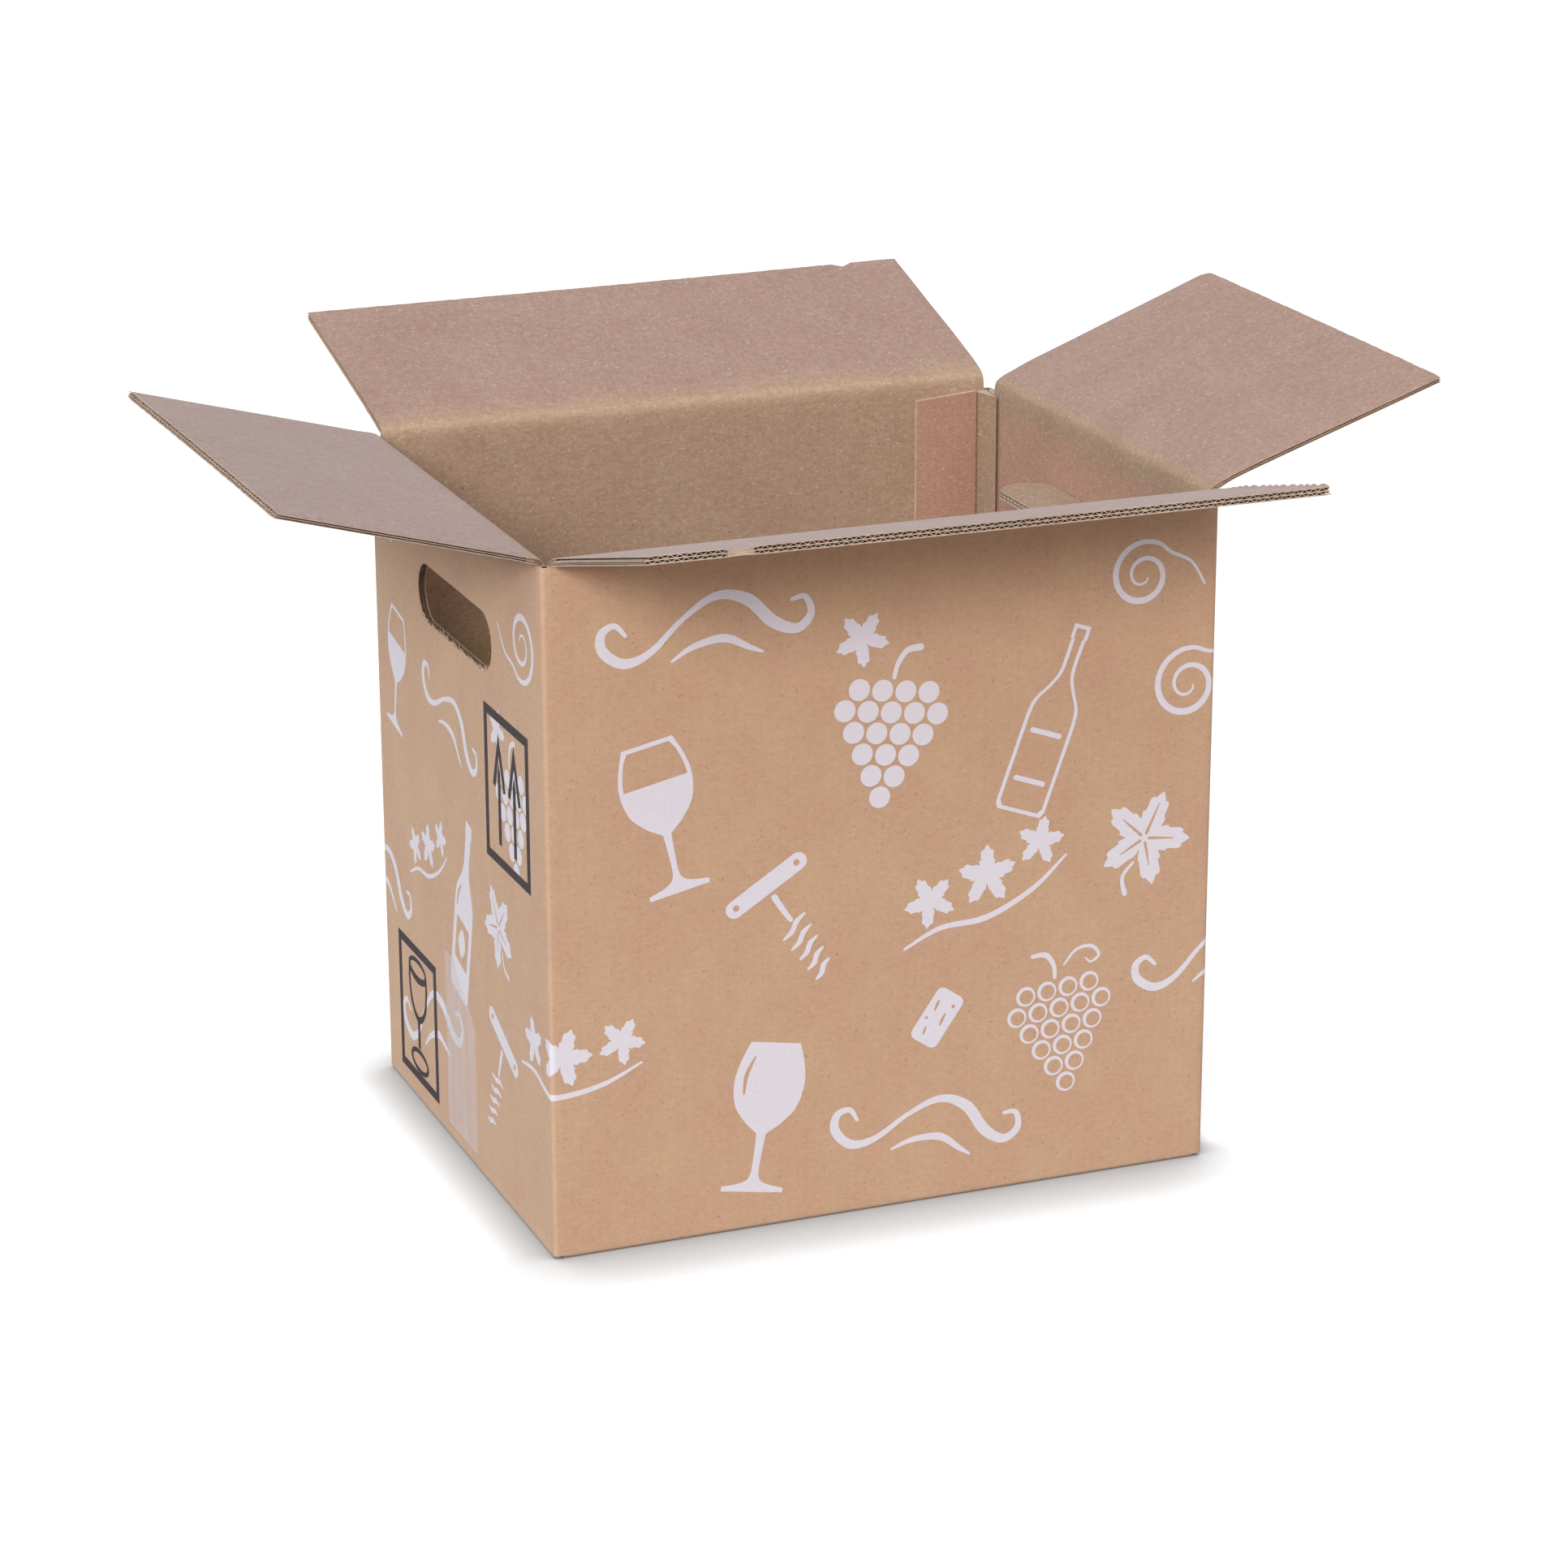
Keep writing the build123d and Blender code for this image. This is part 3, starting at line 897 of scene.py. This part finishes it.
def buildGlueTab():
    low, high = floorTop + glueTab["margin"], sheet["slotLevel"] - glueTab["margin"]
    near, middle = innerLength - glueTab["turn"], (low + high) / 2
    front, back = innerWidth - glueTab["thick"], innerWidth - glueTab["hide"]
    tab = addBox((innerLength - glueTab["width"], front, low), (near, back, high))
    points = getPoints(tab)
    free = points[:, 0] < innerLength - glueTab["width"] / 2
    points[free & (points[:, 2] > middle), 2] -= glueTab["bevel"]
    points[free & (points[:, 2] < middle), 2] += glueTab["bevel"]
    setPoints(tab, points)
    setMaterials(tab, tabMaterial, cutMaterial)
    for face in tab.data.polygons:
        face.material_index = 0 if abs(face.normal.y) > 0.9 else 1
    useModifier(tab, "BEVEL", width=glueTab["tabRound"], segments=3)
    # the sheet turns the corner slantwise from the short wall to the tab
    turn = addBox((near, front, low), (innerLength, back, sheet["deepSlot"] - glueTab["turnDown"]))
    points = getPoints(turn)
    wallSide = points[:, 0] > innerLength - 0.001
    inside = points[:, 1] < innerWidth - 0.001
    points[wallSide & inside, 0] -= glueTab["turnStand"]
    points[wallSide & inside, 1] = innerWidth - glueTab["reach"]
    points[~wallSide & inside, :2] += glueTab["kink"]
    setPoints(turn, points)
    setMaterials(turn, turnMaterial, cutMaterial)
    for face in turn.data.polygons:
        face.material_index = 1 if abs(face.normal.z) > 0.9 else 0
    useModifier(turn, "BEVEL", width=glueTab["turnRound"], segments=2)
    tab = joinAll("glueTab", [tab, turn])
    smoothByAngle(tab, 40)
    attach(tab, "carton")


buildGlueTab()
print("stage: bottom and glued overlap built")

# tongues pushed in from the hand holes; hump: how far the fold pushes the root up; bend: the part that bends;
# spare: what the cutter takes off the sheet's ends; cutter: from and to, through the board
tongueLook = {"gap": 0.0006, "seed": 51, "hump": 0.0072, "bend": 0.0145, "lastRow": 0.024, "spare": 0.001,
              "spareWidth": 0.004, "cutter": (-0.01, 0.02)}


def buildTongue(side):
    joint = joints[side + "_tongue_crease"]
    turned = math.radians(-joint["range_deg"][0])
    width, height = hole["width"] - 2 * tongueLook["gap"], hole["height"] - 2 * tongueLook["gap"]
    rows = np.concatenate([np.linspace(-tongueLook["spare"], tongueLook["bend"], 9),
                           [tongueLook["lastRow"], hole["height"] + tongueLook["spare"]]])
    wear = {"end": 0, "side": 0, "seed": tongueLook["seed"]}
    layers = boardLayers(width + tongueLook["spareWidth"], rows, rows, (outerShort, flapMaterials["right"]), wear)
    cutter = stadiumCutter(width, height, 0.0, *tongueLook["cutter"])
    points = getPoints(cutter)
    setPoints(cutter, np.stack([points[:, 1], points[:, 2] + hole["height"] / 2, points[:, 0]], 1))
    setMaterials(cutter, cutMaterial)
    editAll(cutter, bpy.ops.mesh.normals_make_consistent, inside=False)
    for layer in layers:
        cutWith(layer, cutter, "INTERSECT")
    removeObject(cutter)
    tongue = joinAll(side + "TongueBoard", layers)
    points = getPoints(tongue)
    out, root = outward[side], Vector(joint["pos_m"])
    along = -up * math.cos(turned) - out * math.sin(turned)
    deep = out * math.cos(turned) - up * math.sin(turned)
    hump = tongueLook["hump"] * np.clip(1 - points[:, 1] / hole["height"], 0, 1) ** 1.2
    setPoints(tongue, spread(joint["pos_m"], (points[:, 0], out.cross(up)), (points[:, 1], along),
                             (sheet["thick"] - points[:, 2], deep), (hump, up)))
    editAll(tongue, bpy.ops.mesh.flip_normals)
    smoothByAngle(tongue, 50)
    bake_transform(tongue)
    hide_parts(side + "_tongue")


for side in ("left", "right"):
    buildTongue(side)
print("stage: tongues built")

setMaterials(frame["nodes"]["bottom_tape"], tapeMaterial)

# print: loose drawings in pale ink on the four walls, and two dark handling signs on each short wall, drawn in mm
# lifts: ink above the paper; signLine: line of the signs' frames; first, last: where the print begins and ends
inkLook = {"paleLift": 0.00006, "darkLift": 0.00011, "signLine": 5.0, "first": -0.31, "last": 1.0}


def smoothed(points, closed, steps=7):
    # rounded line through the given points
    points = np.asarray(points, float)
    count = len(points)
    line = []
    for i in range(count if closed else count - 1):
        if closed:
            a, b, c, d = (points[(i + k) % count] for k in (-1, 0, 1, 2))
        else:
            a, b, c, d = (points[min(max(i + k, 0), count - 1)] for k in (-1, 0, 1, 2))
        bend, twist = 2 * a - 5 * b + 4 * c - d, 3 * b - a - 3 * c + d
        for t in np.arange(steps) / steps:
            line.append(0.5 * (2 * b + (c - a) * t + bend * t**2 + twist * t**3))
    if not closed:
        line.append(points[-1])
    return np.array(line)


def stroke(points, widths, steps=7):
    # pen line that swells and thins, closed round its ends
    line = smoothed(points, False, steps)
    wide = np.interp(np.linspace(0, 1, len(line)), np.linspace(0, 1, len(widths)), widths) / 2
    ahead = np.gradient(line, axis=0)
    ahead /= np.linalg.norm(ahead, axis=1)[:, None]
    aside = np.stack([-ahead[:, 1], ahead[:, 0]], 1) * wide[:, None]
    angles = np.linspace(-1, 1, 5)[1:-1] * math.pi / 2
    caps = []
    for end, way in ((-1, 1), (0, -1)):
        tip, edge = ahead[end] * wide[end], aside[end]
        caps.append([line[end] + way * (tip * math.cos(a) + edge * math.sin(a)) for a in angles])
    return np.concatenate([line - aside, caps[0], (line + aside)[::-1], caps[1]])


def circle(x, y, radius, count=22):
    angle = np.linspace(0, 2 * math.pi, count, endpoint=False)
    return np.stack([x + radius * np.cos(angle), y + radius * np.sin(angle)], 1)


def mirrored(half):
    half = np.asarray(half, float)
    return np.concatenate([half, (half * [-1, 1])[::-1]])


def roundBar(width, height, x=0, y=0, radius=3):
    corners = []
    for sx, sy, first in ((1, 1, 0), (-1, 1, 90), (-1, -1, 180), (1, -1, 270)):
        for turn in np.radians(np.linspace(first, first + 90, 5)):
            corners.append((x + sx * (width / 2 - radius) + radius * math.cos(turn),
                            y + sy * (height / 2 - radius) + radius * math.sin(turn)))
    return np.array(corners)


def glassProfile(inset):
    return smoothed([(13.5 - inset, 40), (17.8 - inset, 28), (19.2 - inset, 17), (16.5 - inset, 5),
                     (9 - inset * 0.7, -4 + inset)], False)


def lineGlass():
    inset = 2.3
    foot = smoothed([(2.2, -9), (1.7, -20), (1.9, -31), (6, -35.5), (16, -38)], False)
    outline = mirrored(np.concatenate([glassProfile(0), foot, [(16, -40.5)]]))
    air = mirrored(np.concatenate([[(13.5 - inset, 37.7)], glassProfile(inset)[4:14]]))
    return [outline, air]


def fullGlass():
    foot = smoothed([(2.6, -9), (2.1, -20), (2.3, -31), (6, -35.5), (17, -38)], False)
    outline = mirrored(np.concatenate([glassProfile(0), foot, [(17, -40.5)]]))
    shine = stroke([(-10, 32), (-13.2, 22), (-13, 12)], [1, 2.4, 1])
    return [outline, shine]


def bottleSide(inset):
    neck = [(5.2 - inset, 55 - inset), (5.2 - inset, 47), (4.4 - inset, 46.5)]
    shoulder = smoothed([(4.4 - inset, 44), (4.6 - inset, 28), (8 - inset, 19), (14 - inset, 9),
                         (15.5 - inset, 0)], False)
    return np.concatenate([neck, shoulder, [(15.5 - inset, -52 + inset), (13.5 - inset, -55 + inset)]])


def fullBottle():
    label = roundBar(21, 27, 0, -22, 2)
    mark = smoothed([(0, -13), (6, -22), (0, -31), (-6, -22)], True)
    shine = stroke([(-7, 12), (-10.5, 5), (-11.2, -3)], [1, 2.2, 1])
    return [mirrored(bottleSide(0)), label, mark, shine]


def lineBottle():
    bands = [roundBar(20, 3, 0, level, 1.2) for level in (-8, -36)]
    return [mirrored(bottleSide(0)), mirrored(bottleSide(2.2))] + bands


def grapeSpots():
    spots = []
    for row, count in enumerate((4, 5, 4, 3, 2, 1)):
        for i in range(count):
            spots.append(((i - (count - 1) / 2) * 12.6, 17 - row * 11.0))
    return spots


def fullGrapes():
    loops = [circle(x, y, 5.7) for x, y in grapeSpots()]
    loops.append(stroke([(-1, 24), (0, 31), (4, 38), (11, 40)], [2.2, 2.6, 3.2, 3.8]))
    loops.append(leafEdge(15, (-21, 43), 2.4))
    return loops


def lineGrapes():
    loops = []
    for x, y in grapeSpots():
        loops += [circle(x, y, 5.7), circle(x + 0.4, y - 0.4, 4.1)]
    loops.append(stroke([(-1, 24), (-1, 31), (-5, 38), (-13, 39)], [2.2, 2.6, 3.2, 2.2]))
    loops.append(stroke([(5, 30), (13, 37), (22, 37), (26, 31), (21, 28), (18, 31)], [1.2, 1.8, 2, 1.8, 1.4, 0.8]))
    return loops


def leafEdge(size, middle, turn):
    # five-lobed vine leaf
    angle = np.linspace(0, 2 * math.pi, 90, endpoint=False)
    stalkNotch = np.exp(-(((angle - math.pi) / 0.22) ** 2))
    lobes = 0.70 + 0.24 * np.cos(5 * angle) + 0.055 * np.cos(25 * angle) - 0.16 * stalkNotch
    radius = size * lobes
    return np.stack([middle[0] + radius * np.cos(angle + turn), middle[1] + radius * np.sin(angle + turn)], 1)


def fullLeaf():
    loops = [leafEdge(31, (0, 0), 0.0)]
    for turn, far in ((0, 23), (1.2566, 20), (-1.2566, 20), (2.5133, 18), (-2.5133, 18)):
        ahead = np.array([math.cos(turn), math.sin(turn)])
        loops.append(stroke([ahead * 3.2, ahead * (far * 0.55), ahead * far], [2.0, 1.5, 0.6]))
    loops.append(stroke([(-16.5, 0.4), (-27, 3), (-36, -3)], [1.8, 2.4, 3.4]))
    return loops


def corkscrew():
    loops = [roundBar(52, 10, 0, 32, 4.8), circle(-20, 32, 1.8, 14), circle(20, 32, 1.8, 14),
             stroke([(0, 23.5), (0, 15), (0.5, 7)], [3.6, 3.2, 2.6])]
    for turn in range(5):
        wide, level = 8.6 - 0.7 * turn, 2.5 - 7.6 * turn
        bar = [(-wide, level - 2.6), (-wide * 0.3, level - 1.6), (wide * 0.3, level + 1.6), (wide, level + 2.6)]
        loops.append(stroke(bar, [1.2, 3.0, 3.0, 1.2]))
    return loops


def cork():
    loops = [roundBar(19, 34, 0, 0, 4)]
    for first, second, wide in (((-5, 9), (-4, 3), 1.8), ((3, 4), (4, -3), 1.8), ((-3, -8), (-2, -12), 1.6)):
        loops.append(stroke([first, second], [1, wide, 1]))
    return loops + [circle(5, 10, 1.1, 12), circle(-6, -3, 0.9, 12)]


def tendril():
    curl = []
    for t in np.linspace(0, 1, 26):
        radius, angle = 4 + 21 * t, 6.6 * math.pi * (1 - t) * 0.55 + 0.6
        curl.append((radius * math.cos(angle), radius * math.sin(angle)))
    return [stroke(curl + [(36, 6), (46, -10)], [1.4, 2.2, 3.4, 4.6, 4.0, 1.6], 4)]


def flourish():
    # thick and thin pen curl
    line = [(-40, 7), (-45, 13), (-52, 10), (-52, 1), (-42, -7), (-28, -4), (-10, 9), (8, 17), (24, 12), (36, -2),
            (48, -8), (56, -2), (54, 7), (47, 7)]
    other = [(-18, -11), (-6, -6), (10, -5), (22, -12), (29, -16)]
    return [stroke(line, [2, 3, 4.4, 5.4, 5.2, 3.6, 2.6, 4.2, 6.2, 6.4, 5.0, 4.0, 3, 2]),
            stroke(other, [1.2, 3.2, 4.4, 3, 1.2])]


def cuttings():
    # spray of three small leaves on a stalk
    loops = [stroke([(-44, -12), (-24, -7), (0, -9), (26, -2), (46, 10)], [1.4, 2.6, 3.2, 2.6, 1.2])]
    for x, y, turn, size in ((-27, 8, 1.9, 14), (4, 12, 1.4, 16), (34, 21, 1.2, 13)):
        loops.append(leafEdge(size, (x, y), turn))
    return loops


def signFrame(width, height):
    corners = np.array([(1, 1), (-1, 1), (-1, -1), (1, -1)], float)
    return [corners * (width / 2 - inset, height / 2 - inset) for inset in (0, inkLook["signLine"])]


def arrowSign():
    head = np.array([(0, 30), (10.2, 1), (6.2, 0), (0, 18.5), (-6.2, 0), (-10.2, 1)])
    shaft = np.array([(0, 14), (2.2, 8.5), (2.2, -29), (-2.2, -29), (-2.2, 8.5)])
    loops = signFrame(70, 81)
    for x in (-12, 12):
        loops += [head + (x, 0), shaft + (x, 0)]
    return loops


def gobletSign():
    loops = signFrame(68, 78.5)
    angle = np.linspace(0, math.pi / 2, 12)
    rim = np.stack([16 * np.sin(angle), 26 + 6.5 * np.cos(angle)], 1)
    cup = smoothed([(16.6, 18), (14.5, 7), (8.5, -1), (2.4, -4.5)], False)
    loops.append(mirrored(np.concatenate([rim[1:], cup, [(2.0, -6), (2.0, -19.6)]])))
    hollow = smoothed([(13.2, 21.2), (13.6, 17), (11.6, 8.5), (6.8, 2.0), (0.4, -1.0)], False)
    loops.append(mirrored(np.concatenate([[(0.4, 18.2), (7, 19.0)], hollow])))
    turn = np.linspace(0, 2 * math.pi, 40, endpoint=False)
    for x, y, wide, tall in ((0, 26.2, 13, 3.6), (0, -27.2, 16, 7.0), (0, -27.2, 12.6, 4.2)):
        loops.append(np.stack([x + wide * np.cos(turn), y + tall * np.sin(turn)], 1))
    return loops


def drawn(name, loops):
    data = bpy.data.curves.new(name, "CURVE")
    data.dimensions = "2D"
    data.fill_mode = "BOTH"
    for loop in loops:
        line = data.splines.new("POLY")
        line.points.add(len(loop) - 1)
        corners = np.zeros((len(loop), 4))
        corners[:, :2], corners[:, 3] = loop * mm, 1
        line.points.foreach_set("co", corners.ravel())
        line.use_cyclic_u = True
    obj = bpy.data.objects.new(name, data)
    bpy.context.collection.objects.link(obj)
    pick(obj)
    bpy.ops.object.convert(target="MESH")
    return bpy.context.object


cornerRound = sheet["corner"]
flatLong, flatShort = 2 * (halfLength - cornerRound), 2 * (halfWidth - cornerRound)
cornerArc = math.pi / 2 * cornerRound
girth = 2 * (flatLong + flatShort) + 4 * cornerArc


def wrapRound(along, height, lift):
    # along runs round the carton from the front left corner, first over the front wall
    place = np.zeros((len(along), 3))
    rest = np.mod(along - cornerArc / 2, girth)
    start = Vector((-halfLength + cornerRound, -halfWidth, 0))
    ahead, out = Vector((1, 0, 0)), Vector((0, -1, 0))
    begin = 0.0
    for length in (flatLong, flatShort, flatLong, flatShort):
        flat = (rest >= begin) & (rest < begin + length)
        place[flat] = spread(start, (rest[flat] - begin, ahead)) + np.array(out) * lift
        start, begin = start + ahead * length, begin + length
        bend = (rest >= begin) & (rest < begin + cornerArc)
        angle = (rest[bend] - begin) / cornerRound
        middle = start - out * cornerRound
        reach = cornerRound + lift
        place[bend] = spread(middle, (np.cos(angle) * reach, out), (np.sin(angle) * reach, ahead))
        start, begin = start + (ahead - out) * cornerRound, begin + cornerArc
        ahead, out = -out, ahead
    place[:, 2] = height
    return place


longSide, shortSide = 2 * halfLength / mm, 2 * halfWidth / mm
# motif, distance along the wall from its left end, height, size, turn in degrees
longPrint = [("flourish", 82, 318, 1.0, 6), ("lineGlass", 60, 226, 1.0, 12), ("fullGrapes", 180, 260, 1.0, -8),
             ("lineBottle", 268, 252, 0.92, -20), ("tendril", 318, 322, 0.75, 0),
             ("corkscrew", 130, 158, 0.95, 32), ("fullLeaf", 322, 182, 0.85, 65),
             ("cuttings", 232, 160, 1.05, 10), ("cork", 207, 100, 0.9, -35), ("fullGlass", 112, 60, 1.0, -10),
             ("flourish", 200, 40, 0.95, -6), ("lineGrapes", 276, 90, 0.95, 6)]
shortPrint = [("lineGlass", 36, 240, 0.85, -10), ("flourish", 128, 238, 0.85, -14),
              ("fullGrapes", 232, 222, 0.85, 8), ("tendril", 252, 312, 0.8, 190),
              ("fullBottle", 146, 140, 0.95, -14), ("cuttings", 84, 146, 0.8, 10),
              ("fullLeaf", 204, 150, 0.75, 120), ("flourish", 84, 54, 1.0, 18), ("corkscrew", 196, 62, 0.95, -24),
              ("fullLeaf", 36, 330, 0.55, 80)]
# these run over the corners; distances from the front left corner
cornerPrint = [("cuttings", 0, 96, 1.0, -8), ("tendril", longSide - 16, 262, 0.8, 20),
               ("flourish", longSide + 6, 112, 0.9, 10), ("cuttings", longSide + shortSide, 96, 1.0, -8),
               ("flourish", -shortSide, 116, 0.9, -8)]
signPrint = [("arrowSign", shortSide - 60, 225.5, 1, 0), ("gobletSign", 58.5, 50.5, 1, 0)]


def printPlaces():
    shorts, longs = (longSide, -shortSide), (0, longSide + shortSide)
    moved = lambda prints, begin: [(name, begin + x, *rest) for name, x, *rest in prints]
    pale, dark = list(cornerPrint), []
    for prints, begins in ((longPrint, longs), (shortPrint, shorts)):
        for begin in begins:
            pale += moved(prints, begin)
    for begin in shorts:
        dark += moved(signPrint, begin)
    return {"pale": pale, "dark": dark}


def laidOut(drawing, x, z, size, turn):
    # a copy of the drawing, at its size, turn and place on the unrolled walls
    copy = drawing.copy()
    copy.data = drawing.data.copy()
    bpy.context.collection.objects.link(copy)
    across, tall = (getPoints(copy)[:, :2] * size).T
    c, s = math.cos(math.radians(turn)), math.sin(math.radians(turn))
    setPoints(copy, np.stack([across * c - tall * s + x * mm, across * s + tall * c + z * mm, 0 * across], 1))
    return copy


def cutAtCorners(obj):
    # lines across the flat print where the carton's corners will bend it
    begin = -cornerArc / 2
    for length in (0, flatLong, flatShort, flatLong, flatShort):
        begin += length
        for step in range(5):
            for lap in (0, -girth):
                line = begin + cornerArc * step / 4 + lap
                if inkLook["first"] < line < inkLook["last"]:
                    bisectAt(obj, (line, 0, 0), (1, 0, 0))
        begin += cornerArc


def buildPrint():
    motifs = (lineGlass, fullGlass, fullBottle, lineBottle, fullGrapes, lineGrapes, fullLeaf, corkscrew, cork,
              tendril, flourish, cuttings, arrowSign, gobletSign)
    drawings = {motif.__name__: drawn(motif.__name__, motif()) for motif in motifs}
    places = printPlaces()
    for tone, ink in (("pale", whiteInk), ("dark", darkInk)):
        copies = [laidOut(drawings[name], *place) for name, *place in places[tone]]
        sheetInk = joinAll(tone + "Print", copies)
        setMaterials(sheetInk, ink)
        cutAtCorners(sheetInk)
        points = getPoints(sheetInk)
        setPoints(sheetInk, wrapRound(points[:, 0], points[:, 1], inkLook[tone + "Lift"]))
        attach(sheetInk, "carton")
    for drawing in drawings.values():
        removeObject(drawing)


buildPrint()
print("stage: print laid on")

# stage, light and camera; reach: axis, its span on the floor, and the contact shadow's reach at both ends of the span
# lamps: name, degrees round to the left of the front, height in degrees, strength, spread, colour
studio = {"floor": (0.38, 0.38, 0.38, 1), "glow": (0.82, 0.82, 0.82, 1), "shadowPower": 2.4, "world": 0.36,
          "reach": (("Y", (-0.165, -0.125), (0.058, 0.030)), ("X", (0.14, 0.19), (0.0, 0.014))),
          "lamps": (("softKey", 31, 25, 1.72, 18, (1, 1, 1)), ("leftFill", 80, 28, 0.83, 26, (0.74, 0.92, 1.0)),
                    ("topFill", 20, 78, 0.75, 70, (0.97, 0.98, 1.0))),
          "camera": (-0.8236, -2.0876, 0.9233), "cameraTurn": (71.8008, 0.1683, -21.5784), "lens": 102.42}


def buildFloor():
    floor = addShape(bpy.ops.mesh.primitive_plane_add, size=60, location=(0, 0, -0.0001))
    floor.name = "studioFloor"
    material, tree, shader, link = newMaterial("studioFloorPaint")
    setInputs(shader, {"Base Color": studio["floor"], "Roughness": 0.9, "Specular IOR Level": 0.0})
    # the contact shadow reaches furthest to the front and least to the right
    place = addNode(tree, "ShaderNodeSeparateXYZ", (-1300, 0))
    link(addNode(tree, "ShaderNodeTexCoord", (-1500, 0)).outputs["Object"], place.inputs[0])
    reaches = [mapRange(tree, place.outputs[axis], span, reach, (-1100, 0)) for axis, span, reach in studio["reach"]]
    # painted contact shadow: ambient occlusion darkens the floor's glow, which only the camera sees
    near = addNode(tree, "ShaderNodeAmbientOcclusion", (-700, 0), samples=6)
    link(mathNode(tree, "SUBTRACT", *reaches, place=(-900, 0)), near.inputs["Distance"])
    soft = mathNode(tree, "POWER", near.outputs["AO"], studio["shadowPower"], place=(-500, 0))
    glow = mixColour(tree, soft, (0.0, 0.0, 0.0, 1), studio["glow"], place=(-300, 0))
    link(glow, shader.inputs["Emission Color"])
    rays = addNode(tree, "ShaderNodeLightPath", (-400, -300))
    link(rays.outputs["Is Camera Ray"], shader.inputs["Emission Strength"])
    setMaterials(floor, material)


def buildStudio():
    world = bpy.data.worlds.new("studioWorld")
    bpy.context.scene.world = world
    world.use_nodes = True
    setInputs(world.node_tree.nodes["Background"], {"Color": (1, 1, 1, 1), "Strength": studio["world"]})
    for name, aside, height, energy, wide, colour in studio["lamps"]:
        bpy.ops.object.light_add(type="SUN", location=(-2, -3, 2),
                                 rotation=(math.radians(90 - height), 0, -math.radians(aside)))
        lamp = bpy.context.object
        lamp.name = name
        lamp.data.energy = energy
        lamp.data.angle = math.radians(wide)
        lamp.data.color = colour
    bpy.ops.object.camera_add(location=studio["camera"],
                              rotation=[math.radians(angle) for angle in studio["cameraTurn"]])
    camera = bpy.context.object
    camera.name = "photoCamera"
    camera.data.sensor_width = 36
    camera.data.lens = studio["lens"]
    camera.data.clip_start = 0.05
    bpy.context.scene.camera = camera
    bpy.context.scene.view_settings.view_transform = "Standard"


buildFloor()
buildStudio()
print("stage: scene ready")
